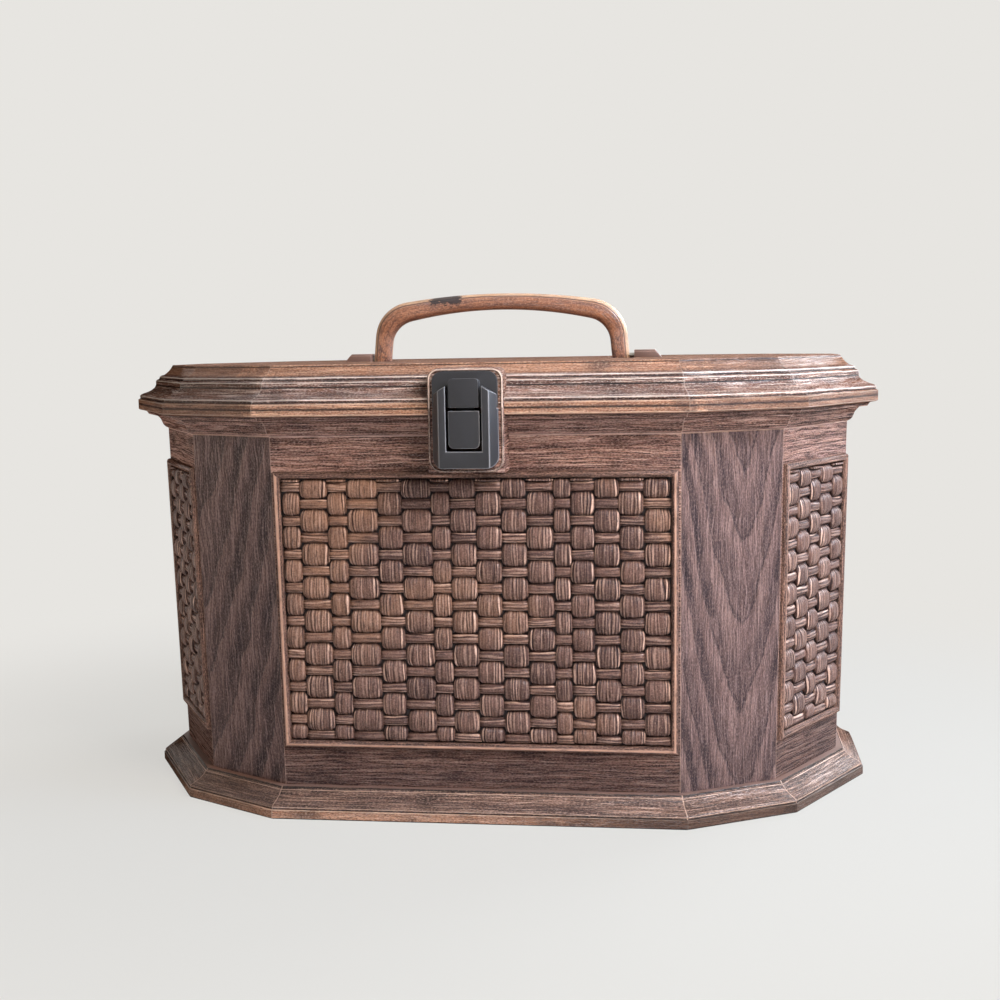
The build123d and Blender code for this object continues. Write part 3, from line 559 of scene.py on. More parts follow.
def reed_strands():
    """Cane strands along each bundle: soft crowns, painted highlights along the strands, strongest on the
    outer ones, thin grooves, and painted shade where each reed dips low at its ends and edges.
    """
    material, n, shader = new_material("reed", 0.42)
    strand, place = n.uv("strand"), n.place()
    aside = n.size(n.attribute("side"))
    wobble = n.drawn_noise(strand, (26.0, 4.0, 1.0), 2.0, 0.5)
    row = n.scaled(n.split(strand)["X"], STRANDS_PER_DM, n.times(wobble, 2.4))
    draw = n.add("ShaderNodeTexWhiteNoise", noise_dimensions="1D")
    n.join(n.math("FLOOR", row), draw.inputs["W"])
    draw = draw.outputs["Value"]
    cane = n.size(n.minus(n.math("FRACT", row), 0.5))
    coarse = n.drawn_noise(strand, (84.0, 2.5, 1.0), 2.0, 0.5)
    fine = n.drawn_noise(strand, (250.0, 14.0, 1.0), 3.0, 0.65)
    patchy = n.drawn_noise(strand, (9.0, 9.0, 1.0), 3.0, 0.6)
    cloud = n.noise(place, 17.0, 3.0, 0.6)
    speck = n.noise(place, 1400.0, 2.0, 0.65)
    groove = n.times(n.ramp(cane, 0.3, 0.46), n.ramp(coarse, 0.58, 0.42, 0.15, 1.0),
                     n.ramp(draw, 0.2, 0.7, 0.35, 1.0), n.ramp(aside, 0.1, 0.6, 0.5, 1.0))
    hair = n.ramp(fine, 0.46, 0.36)
    outer = n.times(n.ramp(aside, 0.62, 0.74), n.ramp(aside, 0.98, 0.86))
    # Painted highlight along the crown of each strand, stronger on the outer strands of a bundle.
    painted_glint = n.times(n.ramp(cane, 0.3, 0.12), n.ramp(draw, 0.3, 0.8, 0.25, 1.0), n.scaled(outer, 0.6, 0.42),
                    n.ramp(patchy, 0.3, 0.6, 0.5, 1.0))
    away = n.add("ShaderNodeVectorMath", place, RUBBED_PLACE, operation="DISTANCE").outputs["Value"]
    rubbed = n.times(n.ramp(away, 0.085, 0.02), n.ramp(cloud, 0.38, 0.6))
    tone = n.paint(
        linear(REED),
        (n.ramp(n.attribute("tint"), 0.0, 1.0, 0.0, 0.7), REED_DEEP),
        (n.math("MAXIMUM", n.times(rubbed, 0.75), n.ramp(cloud, 0.52, 0.7, 0.0, 0.4)), REED_WARM),
        (painted_glint, REED_PALE_AND_HIGHLIGHT),
        (n.ramp(speck, 0.54, 0.64, 0.0, 0.16), REED_PALE_AND_HIGHLIGHT),
        (n.ramp(speck, 0.46, 0.36, 0.0, 0.28), REED_SHADE),
        (n.times(hair, 0.75), REED_SHADE),
        (n.times(groove, 0.92), REED_SHADE),
        # Painted shade: each reed darkens where its height falls, at its ends, edges and corners.
        (n.minus(1.0, n.ramp(n.attribute("height"), 0.15, 0.58)), REED_SHADE))
    n.join(tone, shader["Base Color"])
    n.join(n.scaled(groove, 0.3, 0.36), shader["Roughness"])
    dull_edge_on(n, shader, REED_SHEEN, *FINE_GRAIN_DULLS)
    bump(n, shader, n.minus(n.times(coarse, 0.8), n.scaled(hair, 0.3, groove)), 0.8, 0.0006)
    return material


def plain_plastic(name, colour, dark, roughness):
    """Moulded plastic of one colour."""
    material, n, shader = new_material(name, roughness, 0.5)
    texture = n.group(MOULDED_TEXTURE, Place=n.place())
    tone = n.paint(linear(colour), (n.ramp(texture["Cloud"], 0.3, 0.75, 0.0, 0.5), dark),
                   (n.ramp(texture["Speck"], 0.55, 0.75, 0.0, 0.25), dark))
    n.join(tone, shader["Base Color"])
    n.join(n.scaled(texture["Cloud"], 0.2, roughness - 0.1), shader["Roughness"])
    bump(n, shader, texture["Speck"], 0.25, 0.0001)
    return material


def plated_steel():
    """Plated steel with drawn lines and a little tarnish."""
    material, n, shader = new_material("plated_steel", 0.35)
    shader["Metallic"].default_value = 1.0
    place = n.place()
    tarnish = n.noise(place, 160.0, 4.0, 0.6)
    n.join(n.paint(linear(STEEL), (n.ramp(tarnish, 0.45, 0.8, 0.0, 0.6), TARNISH)), shader["Base Color"])
    n.join(n.scaled(tarnish, 0.35, 0.23), shader["Roughness"])
    bump(n, shader, n.drawn_noise(place, (120.0, 1800.0, 1800.0), 3.0, 0.6), 0.25, 0.0001)
    return material


# Each rail's colours: its own, that of its pores, of its warmer bands, and of what is rubbed bare, which also
# paints highlights on crests and mitres.
RAIL = rail_wood("rail_wood", (148, 107, 95), (40, 28, 28), (186, 138, 119), (216, 180, 164),
                 pores=0.86, ridges=0.5, mitre=0.5, shine=0.08, shade_low_down=0.6)
FRAME_BEAD = rail_wood("frame_bead", (112, 82, 71), (38, 27, 24), (128, 94, 81), (210, 162, 138),
                       wear=1.1, mitre=0.3)
# The lid's left end darkens as painted shade.
LID_WOOD = rail_wood("lid_wood", (132, 90, 74), (48, 34, 31), (168, 118, 94), (250, 228, 212),
                     wear=1.2, pores=0.68, ridges=0.5, mitre=0.25, shine=0.26, dull=(0.5, 0.8),
                     shade_and_stain={"Middle": 0.2, "Near": 0.27, "Far": 0.3, "Share": 0.4})
# The plinth's left end darkens as painted shade.
PLINTH_WOOD = rail_wood("plinth_wood", (110, 79, 67), (36, 25, 23), (138, 101, 83), (222, 182, 158),
                        wear=1.1, pores=0.75, ridges=0.36, mitre=0.8, shine=0.26,
                        shade_and_stain={"Middle": 0.2, "Near": 0.27, "Far": 0.3, "Share": 0.42})
# The lip band darkens on the side facets as painted shade.
LIP_BAND = rail_wood("lip_band", (182, 126, 95), (70, 48, 43), (206, 148, 113), (240, 204, 176),
                     pores=0.4, mitre=0.3, shade_and_stain={"Middle": 0.0, "Near": 0.088, "Far": 0.108, "Share": 0.5})
# The foot band darkens at its left end as painted shade, and in patches to the right as chipping and grime.
FOOT_BAND = rail_wood("foot_band", (186, 132, 102), (40, 26, 23), (206, 150, 117), (232, 196, 170),
                      pores=0.3, mitre=0.5,
                      shade_and_stain={"Middle": -0.045, "Near": 0.025, "Far": 0.13, "Share": 0.8})
LIP_WOOD = rail_wood("lip_wood", (96, 70, 61), (38, 27, 24), (118, 87, 75), (232, 200, 180), shine=0.3)
PANEL = board_wood("panel_wood", (104, 80, 75), (46, 35, 38), (120, 94, 87), 0.1)
LID_BOARD = board_wood("lid_board", (160, 118, 95), (104, 76, 62), (184, 140, 112), 0.15)
GRIP_WOOD = grip_wood()
REED_STRANDS = reed_strands()
# The bed under the reeds is painted in the dark of the shade that falls in the gaps.
SHADED_REED_BED = plain_plastic("reed_bed_painted_shade", REED_SHADE, BED_SHADE, 0.6)
INSIDE = plain_plastic("inside_plastic", INSIDE_TAN, INSIDE_SHADE, 0.55)
BLACK = plain_plastic("latch_black", LATCH_BLACK, LATCH_SHADE, 0.36)
# Pale bevels of the black latch: rubbed edges and painted highlights.
BLACK_WORN_AND_HIGHLIGHT = plain_plastic("latch_edge", LATCH_WORN_AND_HIGHLIGHT, LATCH_BLACK, 0.4)
BOSS_WOOD = plain_plastic("boss_wood", INSIDE_TAN, BOSS_SHADE, 0.5)
BOSS_EDGE = plain_plastic("boss_edge", BOSS_WORN, INSIDE_TAN, 0.5)
TRAY_PLASTIC = plain_plastic("tray_plastic", TRAY_TAN, TRAY_SHADE, 0.45)
PLATED = plated_steel()
CASE_WOODS = (RAIL, PANEL, INSIDE, LIP_BAND)
PLINTH_WOODS = (PLINTH_WOOD, PANEL, INSIDE, FOOT_BAND)
LID_WOODS = (LID_WOOD, PANEL, INSIDE, LIP_BAND, LID_BOARD)
MOULDED, BOARD, HIDDEN, BAND, TOP = range(5)     # the places of these woods


# ---------------------------------------------------------------- swept mouldings
WOOD_MAPS = ("grain", "edge")
FAR = 20                        # the edge map's distance where no end of a rail is near

# Each moulding is cut from boards of its own: these are their numbers on the grain map.
BLOCK_BOARD = 14
PAD_BOARD = 15
RECESS_BOARD = 16
PLINTH_BOARD = 30
LID_BOARDS = 60
LID_TOP_BOARD = 61
GRIP_BOARD = 70
LATCH_LIP_BOARD = 80
BEAD_BOARDS = 90


class Shell:
    """Collects faces in millimetres, each with its place on the grain map and on the edge map."""

    def __init__(self):
        self.index = {}
        self.points = []
        self.faces = []

    def vertex(self, point):
        key = tuple(round(c, 3) for c in point)
        if key not in self.index:
            self.index[key] = len(self.points)
            self.points.append(point * MM)
        return self.index[key]

    def face(self, points, grain, edge, slot=0):
        corners = [self.vertex(p) for p in points]
        if len(set(corners)) == len(corners):
            self.faces.append((corners, grain, edge, slot))

    def build(self, name, materials):
        mesh = bpy.data.meshes.new(name)
        mesh.from_pydata(self.points, [], [f[0] for f in self.faces])
        grain_map, edge_map = [mesh.uv_layers.new(name=m) for m in WOOD_MAPS]
        loop = 0
        for polygon, (_, grain, edge, slot) in zip(mesh.polygons, self.faces):
            polygon.material_index = slot
            for g, e in zip(grain, edge):
                grain_map.data[loop].uv = g
                edge_map.data[loop].uv = e
                loop += 1
        for material in materials:
            mesh.materials.append(material)
        return add_object(name, mesh)


# Each board's arches: where their middle is, in millimetres from the board's middle, and how steep they are.
BOARD_HEART = {1: (6.0, 1.0), 3: (-12.0, 0.8), 5: (16.0, 1.0), 7: (-5.0, 1.0), 9: (30.0, 0.6),
               11: (-34.0, 0.6)}


def grain_place(along, up, board):
    return (along * 0.01 + board * BOARD_STEP, up * 0.01)


def shared(wear, other):
    """The wear that lasts from one named point to the next: the weaker of two marks of the same kind."""
    if not wear or not other or wear * other < 0:
        return 0.0
    return math.copysign(min(abs(wear), abs(other)), wear)


def eased(profile, reach=1.1, round_off=0.4):
    """The profile with each corner rounded, as (height, offset, wear): wear is 1 on a crest, which goes pale
    as wear and partly painted highlight, and -1 in a hollow, which goes dark as grime and partly painted
    shade.

    A point of the profile may name its own wear as a third number. Otherwise the bend there gives it.
    """
    points = [Vector((p[1], p[0])) for p in profile]
    named = [p[2] if len(p) > 2 else None for p in profile]
    path = [(profile[0][0], profile[0][1], named[0] or 0.0)]
    for before, here, after, past, wear, coming in zip(points, points[1:], points[2:], named, named[1:],
                                                       named[2:]):
        arrive, leave = here - before, after - here
        bend = arrive.angle_signed(leave) if arrive.length and leave.length else 0
        if abs(bend) < 0.12 and wear is None:
            path.append((here.y, here.x, 0.0))
            continue
        strength = max(-1.0, min(1.0, bend / 0.9)) if wear is None else wear
        far = min(reach, 0.42 * min(arrive.length, leave.length))
        near = min(round_off, 0.5 * far)
        steps = [here - arrive.normalized() * far, here - arrive.normalized() * near,
                 None, here + leave.normalized() * near, here + leave.normalized() * far]
        steps[2] = (steps[1] + steps[3]) * 0.25 + here * 0.5
        marks = (shared(past, wear), strength * 0.75, strength, strength * 0.75, shared(wear, coming))
        for step, mark in zip(steps, marks):
            path.append((step.y, step.x, mark))
    path.append((profile[-1][0], profile[-1][1], named[-1] or 0.0))
    return path


def halves(corners):
    """Both halves of a face with its lower edge first: the corners, the way along and the way to an end."""
    half = [(corners[1] - corners[0]).length / 2, (corners[2] - corners[3]).length / 2]
    middle = [(corners[0] + corners[1]) / 2, (corners[3] + corners[2]) / 2]
    yield [corners[0], middle[0], middle[1], corners[3]], [-half[0], 0, 0, -half[1]], [0, half[0], half[1], 0]
    yield [middle[0], corners[1], corners[2], middle[1]], [0, half[0], half[1], 0], [half[0], 0, 0, half[1]]


def sweep(shell, path, slots, board=0):
    """Rings of faces along the path, each facet in two halves so the edge map peaks in its middle."""
    length = 0.0
    rings = [ring(offset, z) for z, offset, _ in path]
    for step in range(len(path) - 1):
        low, high = rings[step], rings[step + 1]
        (z0, o0, wear0), (z1, o1, wear1) = path[step], path[step + 1]
        rise = math.hypot(z1 - z0, o1 - o0)
        up = [length, length, length + rise, length + rise]
        for i in range(FACET_COUNT):
            slot = slots(i, z0, z1)
            heart, spread = BOARD_HEART[i] if slot == BOARD else (0.0, 1.0)
            for points, along, edge in halves([low[i - 1], low[i], high[i], high[i - 1]]):
                grain = [grain_place((a - heart) * spread, u, i + board) for a, u in zip(along, up)]
                shell.face(points, grain, list(zip(edge, (wear0, wear0, wear1, wear1))), slot)
        length += rise


def cap(shell, offset, z, upwards, slot, board=0, arched=False):
    """Flat face over a ring, facing up or down, with its arches along X if it is arched."""
    outline = ring(offset, z) if upwards else ring(offset, z)[::-1]
    points = []
    for a, b in zip(outline, outline[1:] + outline[:1]):
        points += [a, (a + b) / 2]
    grain = [grain_place(p.y, p.x, board) if arched else grain_place(p.x, p.y, board) for p in points]
    shell.face(points, grain, [(FAR, 0)] * len(points), slot)


def flat_grain(points, board):
    """Grain-map places of a flat face: along X or Y, and up Z, or up Y where the face lies level."""
    facing = (points[1] - points[0]).cross(points[2] - points[1])
    if abs(facing.z) > max(abs(facing.x), abs(facing.y)):
        return [grain_place(p.x, p.y, board) for p in points]
    if abs(facing.x) > abs(facing.y):
        return [grain_place(p.y, p.z, board) for p in points]
    return [grain_place(p.x, p.z, board) for p in points]


def brick(low, high, materials, name="brick", slot=0):
    """A closed block between two corners, with the wood maps."""
    shell = Shell()
    x0, y0, z0 = low
    x1, y1, z1 = high
    sides = (
        ((x0, y0, z0), (x1, y0, z0), (x1, y0, z1), (x0, y0, z1)),
        ((x1, y1, z0), (x0, y1, z0), (x0, y1, z1), (x1, y1, z1)),
        ((x1, y0, z0), (x1, y1, z0), (x1, y1, z1), (x1, y0, z1)),
        ((x0, y1, z0), (x0, y0, z0), (x0, y0, z1), (x0, y1, z1)),
        ((x0, y0, z1), (x1, y0, z1), (x1, y1, z1), (x0, y1, z1)),
        ((x0, y1, z0), (x1, y1, z0), (x1, y0, z0), (x0, y0, z0)),
    )
    for side in sides:
        points = [Vector(p) for p in side]
        shell.face(points, flat_grain(points, BLOCK_BOARD), [(FAR, 0)] * 4, slot)
    return shell.build(name, materials)


def prism(outline, near, far, axis, materials, name):
    """A closed block over an outline of (a, b) points, between near and far along the axis X or Y."""
    shell = Shell()

    def place(p, depth):
        return Vector((depth, p[0], p[1])) if axis == "X" else Vector((p[0], depth, p[1]))

    def flat(points):
        shell.face(points, flat_grain(points, PAD_BOARD), [(FAR, 0)] * len(points))

    start = [place(p, near) for p in outline]
    end = [place(p, far) for p in outline]
    flat(start)
    flat(end[::-1])
    for i in range(len(outline)):
        j = (i + 1) % len(outline)
        flat([start[j], start[i], end[i], end[j]])
    piece = shell.build(name, materials)
    face_outwards(piece.data)
    return piece


def face_outwards(mesh):
    work = bmesh.new()
    work.from_mesh(mesh)
    bmesh.ops.recalc_face_normals(work, faces=work.faces)
    work.to_mesh(mesh)
    work.free()


def carve(piece, cutters, operation="DIFFERENCE"):
    """Cuts the closed cutters out of the piece, or adds them to it, and removes them."""
    for cutter in cutters:
        modifier = piece.modifiers.new("carve", "BOOLEAN")
        modifier.operation = operation
        modifier.solver = "EXACT"
        modifier.material_mode = "INDEX"
        modifier.object = cutter
    bake(piece)
    for cutter in cutters:
        bpy.data.objects.remove(cutter)


def bake(piece):
    """Turns the piece with its modifiers into a plain mesh."""
    bpy.context.view_layer.update()
    graph = bpy.context.evaluated_depsgraph_get()
    mesh = bpy.data.meshes.new_from_object(piece.evaluated_get(graph), preserve_all_data_layers=True,
                                           depsgraph=graph)
    piece.modifiers.clear()
    piece.data = mesh


def sharpen(piece, degrees=25):
    """Smooth shading that breaks at edges steeper than the angle."""
    piece.data.shade_smooth()
    piece.data.set_sharp_from_angle(angle=math.radians(degrees))


# ---------------------------------------------------------------- profiles of tub, plinth and lid
# Each point is a height, an offset from the wall's plan, and the wear it names, if any: above 0 a crest goes
# pale, as wear and partly painted highlight, and below 0 a hollow goes dark, as grime and partly painted
# shade.
TUB_OUTSIDE = (
    (CASE_FLOOR_LOW, wall_offset(CASE_FLOOR_LOW)), (WALL_TOP, 0),
    # The darker marks here, under the rim, paint the shade under the lid's overhang.
    (177.5, 1.3, 0.5), (178.6, 2.4), (180.0, 3.0), (181.4, 3.5), (182.5, 4.4), (183.3, 5.2, -0.3),
    (183.9, 5.6, -1.0), (184.3, 9.4, -0.3), (185.3, 10.0, -0.35), (186.1, 10.6, -1.0), (186.6, 13.4, 0.0),
    (187.0, RIM_OUT, 0.9), (188.6, RIM_OUT, 0.3), (189.2, RIM_OUT, -0.5), (SEAM, RIM_OUT, -1.0),
)
TUB_INSIDE = (
    (SEAM, MOUTH), (LEDGE, MOUTH), (LEDGE, -WALL), (WALL_TOP, -WALL),
    (CASE_FLOOR_TOP, wall_offset(CASE_FLOOR_TOP) - WALL),
)
PLINTH_OUTSIDE = (
    (0, 8.5, -1.0), (0.4, 8.9, -0.6), (1.0, 8.9, -0.1), (3.2, 8.9, 0.1), (4.3, 8.9, 1.0), (4.6, 8.2, -1.0),
    (5.4, 8.3, 0.7), (6.2, 7.8, 0.4),
    (6.9, 6.2, 0.0), (7.9, 4.1, 0.0), (9.1, 2.3, 0.0), (10.5, 0.9, 0.0), (11.4, 0.1, 0.9), (11.7, -0.4, 0.2),
    (12.3, -0.6, -1.0), (PLINTH_TOP, -1.03, -0.4),
)
LID_INSIDE = ((LID_CEILING, -7.5), (197.5, MOUTH), (SEAM, MOUTH))
LID_OUTSIDE = (
    (SEAM, RIM_OUT, -1.0), (190.3, RIM_OUT, -0.4), (190.9, RIM_OUT, 0.1), (191.9, RIM_OUT, 1.0),
    (192.2, 13.7, 0.0), (192.6, 13.1, -1.0),
    (193.1, 13.3, -0.4), (193.8, 13.4, 1.0), (194.4, 12.8, 0.45), (194.9, 11.8, 0.0), (195.7, 9.4, 0.0),
    (196.7, 7.4, 0.0), (198.0, 5.9, 0.0), (199.2, 5.3, -0.7), (201.4, 5.2, 1.0), (201.9, 4.6, 0.2),
    (202.4, 3.5, -1.0), (203.5, 3.3, 1.0), (204.0, 2.4, 0.3), (204.4, 0.9, -0.4), (205.4, -0.4, 0.0),
    (206.7, -1.7, 0.0), (207.8, -2.5, 0.1), (208.5, -2.95, -0.8), (LID_TOP, -3.36, 0.3),
)


def plaque_outline(index, inset, out):
    """Four corners of a woven panel's outline on the leaning wall, drawn in by inset."""
    place = panel_frame(index)
    points = []
    for side, level in ((-1, -1), (1, -1), (1, 1), (-1, 1)):
        z = PLAQUE_MIDDLE + level * PLAQUE_HALF
        across = side * (facet_half_width(index, z) - PLAQUE_MARGIN - inset)
        points.append(place @ Vector((across, level * (PLAQUE_HALF - inset), out)))
    return points


def facet_half_width(index, z):
    """Half of a facet's width at height z, on the leaning wall."""
    return facet_length(index) / 2 + wall_offset(z) * math.tan(TURN / 2)


def panel_frame(index):
    """Where a woven panel stands, in millimetres: X along the facet, Y up it, Z outwards."""
    outwards = normal(index)
    origin = (CORNERS[index - 1] + CORNERS[index]) / 2 + outwards * wall_offset(PLAQUE_MIDDLE)
    origin.z = PLAQUE_MIDDLE
    facing = Vector((outwards.x, outwards.y, -DRAFT)).normalized()
    across = Vector((0, 0, 1)).cross(facing)
    turned = Matrix((across, facing.cross(across), facing)).transposed().to_4x4()
    return Matrix.Translation(origin) @ turned


def recess_cutter(index):
    """Closed block that lets a woven panel into the wall."""
    shell = Shell()
    low, high = plaque_outline(index, 0, -PLAQUE_LET_IN), plaque_outline(index, 0, PLAQUE_PROUD)

    def flat(points):
        grain = [grain_place(p.x, p.z, RECESS_BOARD) for p in points]
        shell.face(points, grain, [(FAR, 0)] * 4)

    flat(low[::-1])
    flat(high)
    for i in range(4):
        j = (i + 1) % 4
        flat([low[i], low[j], high[j], high[i]])
    return shell.build("recess", CASE_WOODS)


def latch_pad(low, high, corner):
    """Raised block behind half of the latch. A corner rounds its outer end."""
    outline = rounded(PAD_HALF, low, high, corner)
    return prism(outline, -HALF_DEPTH - PAD_OUT, -HALF_DEPTH + PAD_ROOT, "Y", CASE_WOODS, "latch_pad")


def rounded(half, low, high, corner):
    """Outline in X and Z, counter-clockwise from the front, with the two upper corners rounded."""
    points = [(-half, low), (half, low)]
    if corner <= 0:
        return points + [(half, high), (-half, high)]
    for side in (1, -1):
        for step in range(CORNER_STEPS + 1):
            turn = math.pi / 2 * (step if side > 0 else CORNER_STEPS - step) / CORNER_STEPS
            points.append((side * (half - corner + corner * math.cos(turn)),
                           high - corner + corner * math.sin(turn)))
    return points


def hinge_pad(side, low, high, slope_low, slope_high):
    """Raised block behind half of a hinge, with sloped ends."""
    root, wall, rim = HALF_DEPTH - PAD_ROOT, HALF_DEPTH + HINGE_PAD_WALL, HALF_DEPTH + RIM_OUT
    outline = [(root, low), (wall, low), (rim, low + slope_low), (rim, high - slope_high), (wall, high),
               (root, high)]
    centre = side * HINGE_X
    return prism(outline, centre - HINGE_PAD_HALF, centre + HINGE_PAD_HALF, "X", CASE_WOODS, "hinge_pad")


# Which of the woods a stretch of the profile between two heights has, on the facet of that number.
def case_slots(index, z0, z1):
    if max(z0, z1) <= WALL_TOP + 0.01:
        return BOARD if index % 2 else MOULDED
    return BAND if min(z0, z1) > CASE_LIP_LOW else MOULDED


def plinth_slots(_, z0, z1):
    return BAND if max(z0, z1) < FOOT_BAND_TOP else MOULDED


def lid_slots(_, z0, z1):
    return BAND if max(z0, z1) < LID_LIP_TOP or min(z0, z1) > LID_BROW else MOULDED


def hidden_slots(*_):
    return HIDDEN


def make_tub():
    """The case's walls and floor, with the pads of latch and hinges and the recesses of the panels."""
    shell = Shell()
    outside = eased(TUB_OUTSIDE + TUB_INSIDE[:1])[:-1]
    sweep(shell, outside, case_slots)
    inside = [outside[-1]] + [(z, o, 0.0) for z, o in TUB_INSIDE]
    sweep(shell, inside, hidden_slots)
    cap(shell, TUB_INSIDE[-1][1], TUB_INSIDE[-1][0], True, HIDDEN)
    cap(shell, TUB_OUTSIDE[0][1], TUB_OUTSIDE[0][0], False, HIDDEN)
    tub = shell.build("case_tub", CASE_WOODS)
    pads = [latch_pad(PAD_LOW, SEAM, 0)]
    pads += [hinge_pad(side, HINGE_PAD_LOW, SEAM, HINGE_SLOPE_LOW, 0) for side in (-1, 1)]
    carve(tub, pads, "UNION")
    pocket = brick((-POCKET_HALF, -HALF_DEPTH - PAD_OUT - OVERLAP, POCKET_LOW),
                   (POCKET_HALF, -HALF_DEPTH - POCKET_FLOOR, SEAM + OVERLAP), CASE_WOODS, slot=HIDDEN)
    carve(tub, [recess_cutter(i) for i in WOVEN] + [pocket])
    sharpen(tub)
    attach(tub, "case")
    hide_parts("tub")


def make_plinth():
    """The moulded foot, open in the middle for the case's floor."""
    shell = Shell()
    outside = eased(PLINTH_OUTSIDE)
    sweep(shell, outside, plinth_slots, PLINTH_BOARD)
    seat = [(z, wall_offset(z), -1.0) for z in (PLINTH_TOP, CASE_FLOOR_LOW)]
    sweep(shell, [outside[-1]] + seat, hidden_slots)
    cap(shell, PLINTH_OUTSIDE[0][1], 0, False, HIDDEN)
    cap(shell, seat[-1][1], CASE_FLOOR_LOW, True, HIDDEN)
    plinth = shell.build("plinth_moulding", PLINTH_WOODS)
    sharpen(plinth)
    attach(plinth, "case")
    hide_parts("plinth")


def lid_block(side, inner, outer, half_depth, low, high, slot):
    """A block through the lid's top on one side, between two distances from the middle."""
    span = sorted((side * inner, side * outer))
    return brick((span[0], -half_depth, low), (span[1], half_depth, high), LID_WOODS, slot=slot)


def make_lid():
    """The lid's mouldings and top, with the pads of latch and hinges and the slots of the handle's legs."""
    shell = Shell()
    outside = eased(LID_INSIDE[-1:] + LID_OUTSIDE)[1:]
    inside = [(z, o, 0.0) for z, o in LID_INSIDE] + [outside[0]]
    sweep(shell, inside, hidden_slots)
    sweep(shell, outside, lid_slots, LID_BOARDS)
    cap(shell, LID_INSIDE[0][1], LID_INSIDE[0][0], False, HIDDEN)
    cap(shell, LID_OUTSIDE[-1][1], LID_TOP, True, TOP, LID_TOP_BOARD, True)
    lid = shell.build("lid_moulding", LID_WOODS)
    pads = [latch_pad(SEAM, PAD_HIGH, PAD_CORNER)]
    for side in (-1, 1):
        pads.append(hinge_pad(side, SEAM, HINGE_PAD_HIGH, 0, HINGE_SLOPE_HIGH))
        pads.append(lid_block(side, LEG_SLOT_INNER - WALL, BOSS_OUTER + OVERLAP,
                              LEG_SLOT_HALF + MOUNT_BLOCK_WALL, MOUNT_BLOCK_LOW, LID_CEILING + OVERLAP / 2,
                              HIDDEN))
    carve(lid, pads, "UNION")
    carve(lid, [lid_block(side, LEG_SLOT_INNER, BOSS_INNER, LEG_SLOT_HALF, LEG_SLOT_FLOOR, LID_TOP + OVERLAP,
                          MOULDED) for side in (-1, 1)])
    sharpen(lid)
    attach(lid, "lid")
    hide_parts("lid_shell")


# ---------------------------------------------------------------- woven panels
# Columns of the weave, in millimetres before they are stretched to fill their panel.
FRONT_COLUMNS = (8.2, 13.2, 8.9, 14.3, 11.4, 13.7, 8.6, 11.8, 11.6, 11.6, 12.3, 7.7, 10.5, 11.4, 10.9, 11.8)
SIDE_COLUMNS = (11.0, 12.6, 11.2, 13.0, 11.4)
ROW_PITCH = 7.8
FIRST_ROW = 3.7
ROWS = 16
BUNDLE_TALL = 11.0
BAR_TALL = 4.7
WEAVE_RELIEF = 3.0
LEAST_REED = 1.2                # a reed cut shorter than this by the frame is left out
REED_SHIFT = 0.25
BAR_OVERLAP = 1.06
LOOSE_WEAVE = 0.97              # how wide the reeds of a narrow panel are, next to those of a wide one
KNOB_LONG = 0.12                # how much a bundle narrows towards its ends on a wide panel
KNOB_SIDE = 0.3                 # and on a narrow one
SEED = 40


def reed_blank(name, columns, rows):
    """Closed block one unit wide and tall: a grid on top, straight sides, and one face below."""
    points = [(x / columns - 0.5, y / rows - 0.5, 1.0) for y in range(rows + 1) for x in range(columns + 1)]
    rim = [x for x in range(columns)] + [columns + y * (columns + 1) for y in range(rows)]
    rim += [(columns + 1) * (rows + 1) - 1 - x for x in range(columns)]
    rim += [(rows - y) * (columns + 1) for y in range(rows)]
    faces = []
    for y in range(rows):
        for x in range(columns):
            a = y * (columns + 1) + x
            faces.append((a, a + 1, a + columns + 2, a + columns + 1))
    first = len(points)
    points += [(points[i][0], points[i][1], 0.0) for i in rim]
    for step in range(len(rim)):
        after = (step + 1) % len(rim)
        faces.append((rim[after], rim[step], first + step, first + after))
    faces.append(tuple(first + i for i in reversed(range(len(rim)))))
    mesh = bpy.data.meshes.new(name)
    mesh.from_pydata(points, [], faces)
    return add_object(name, mesh)


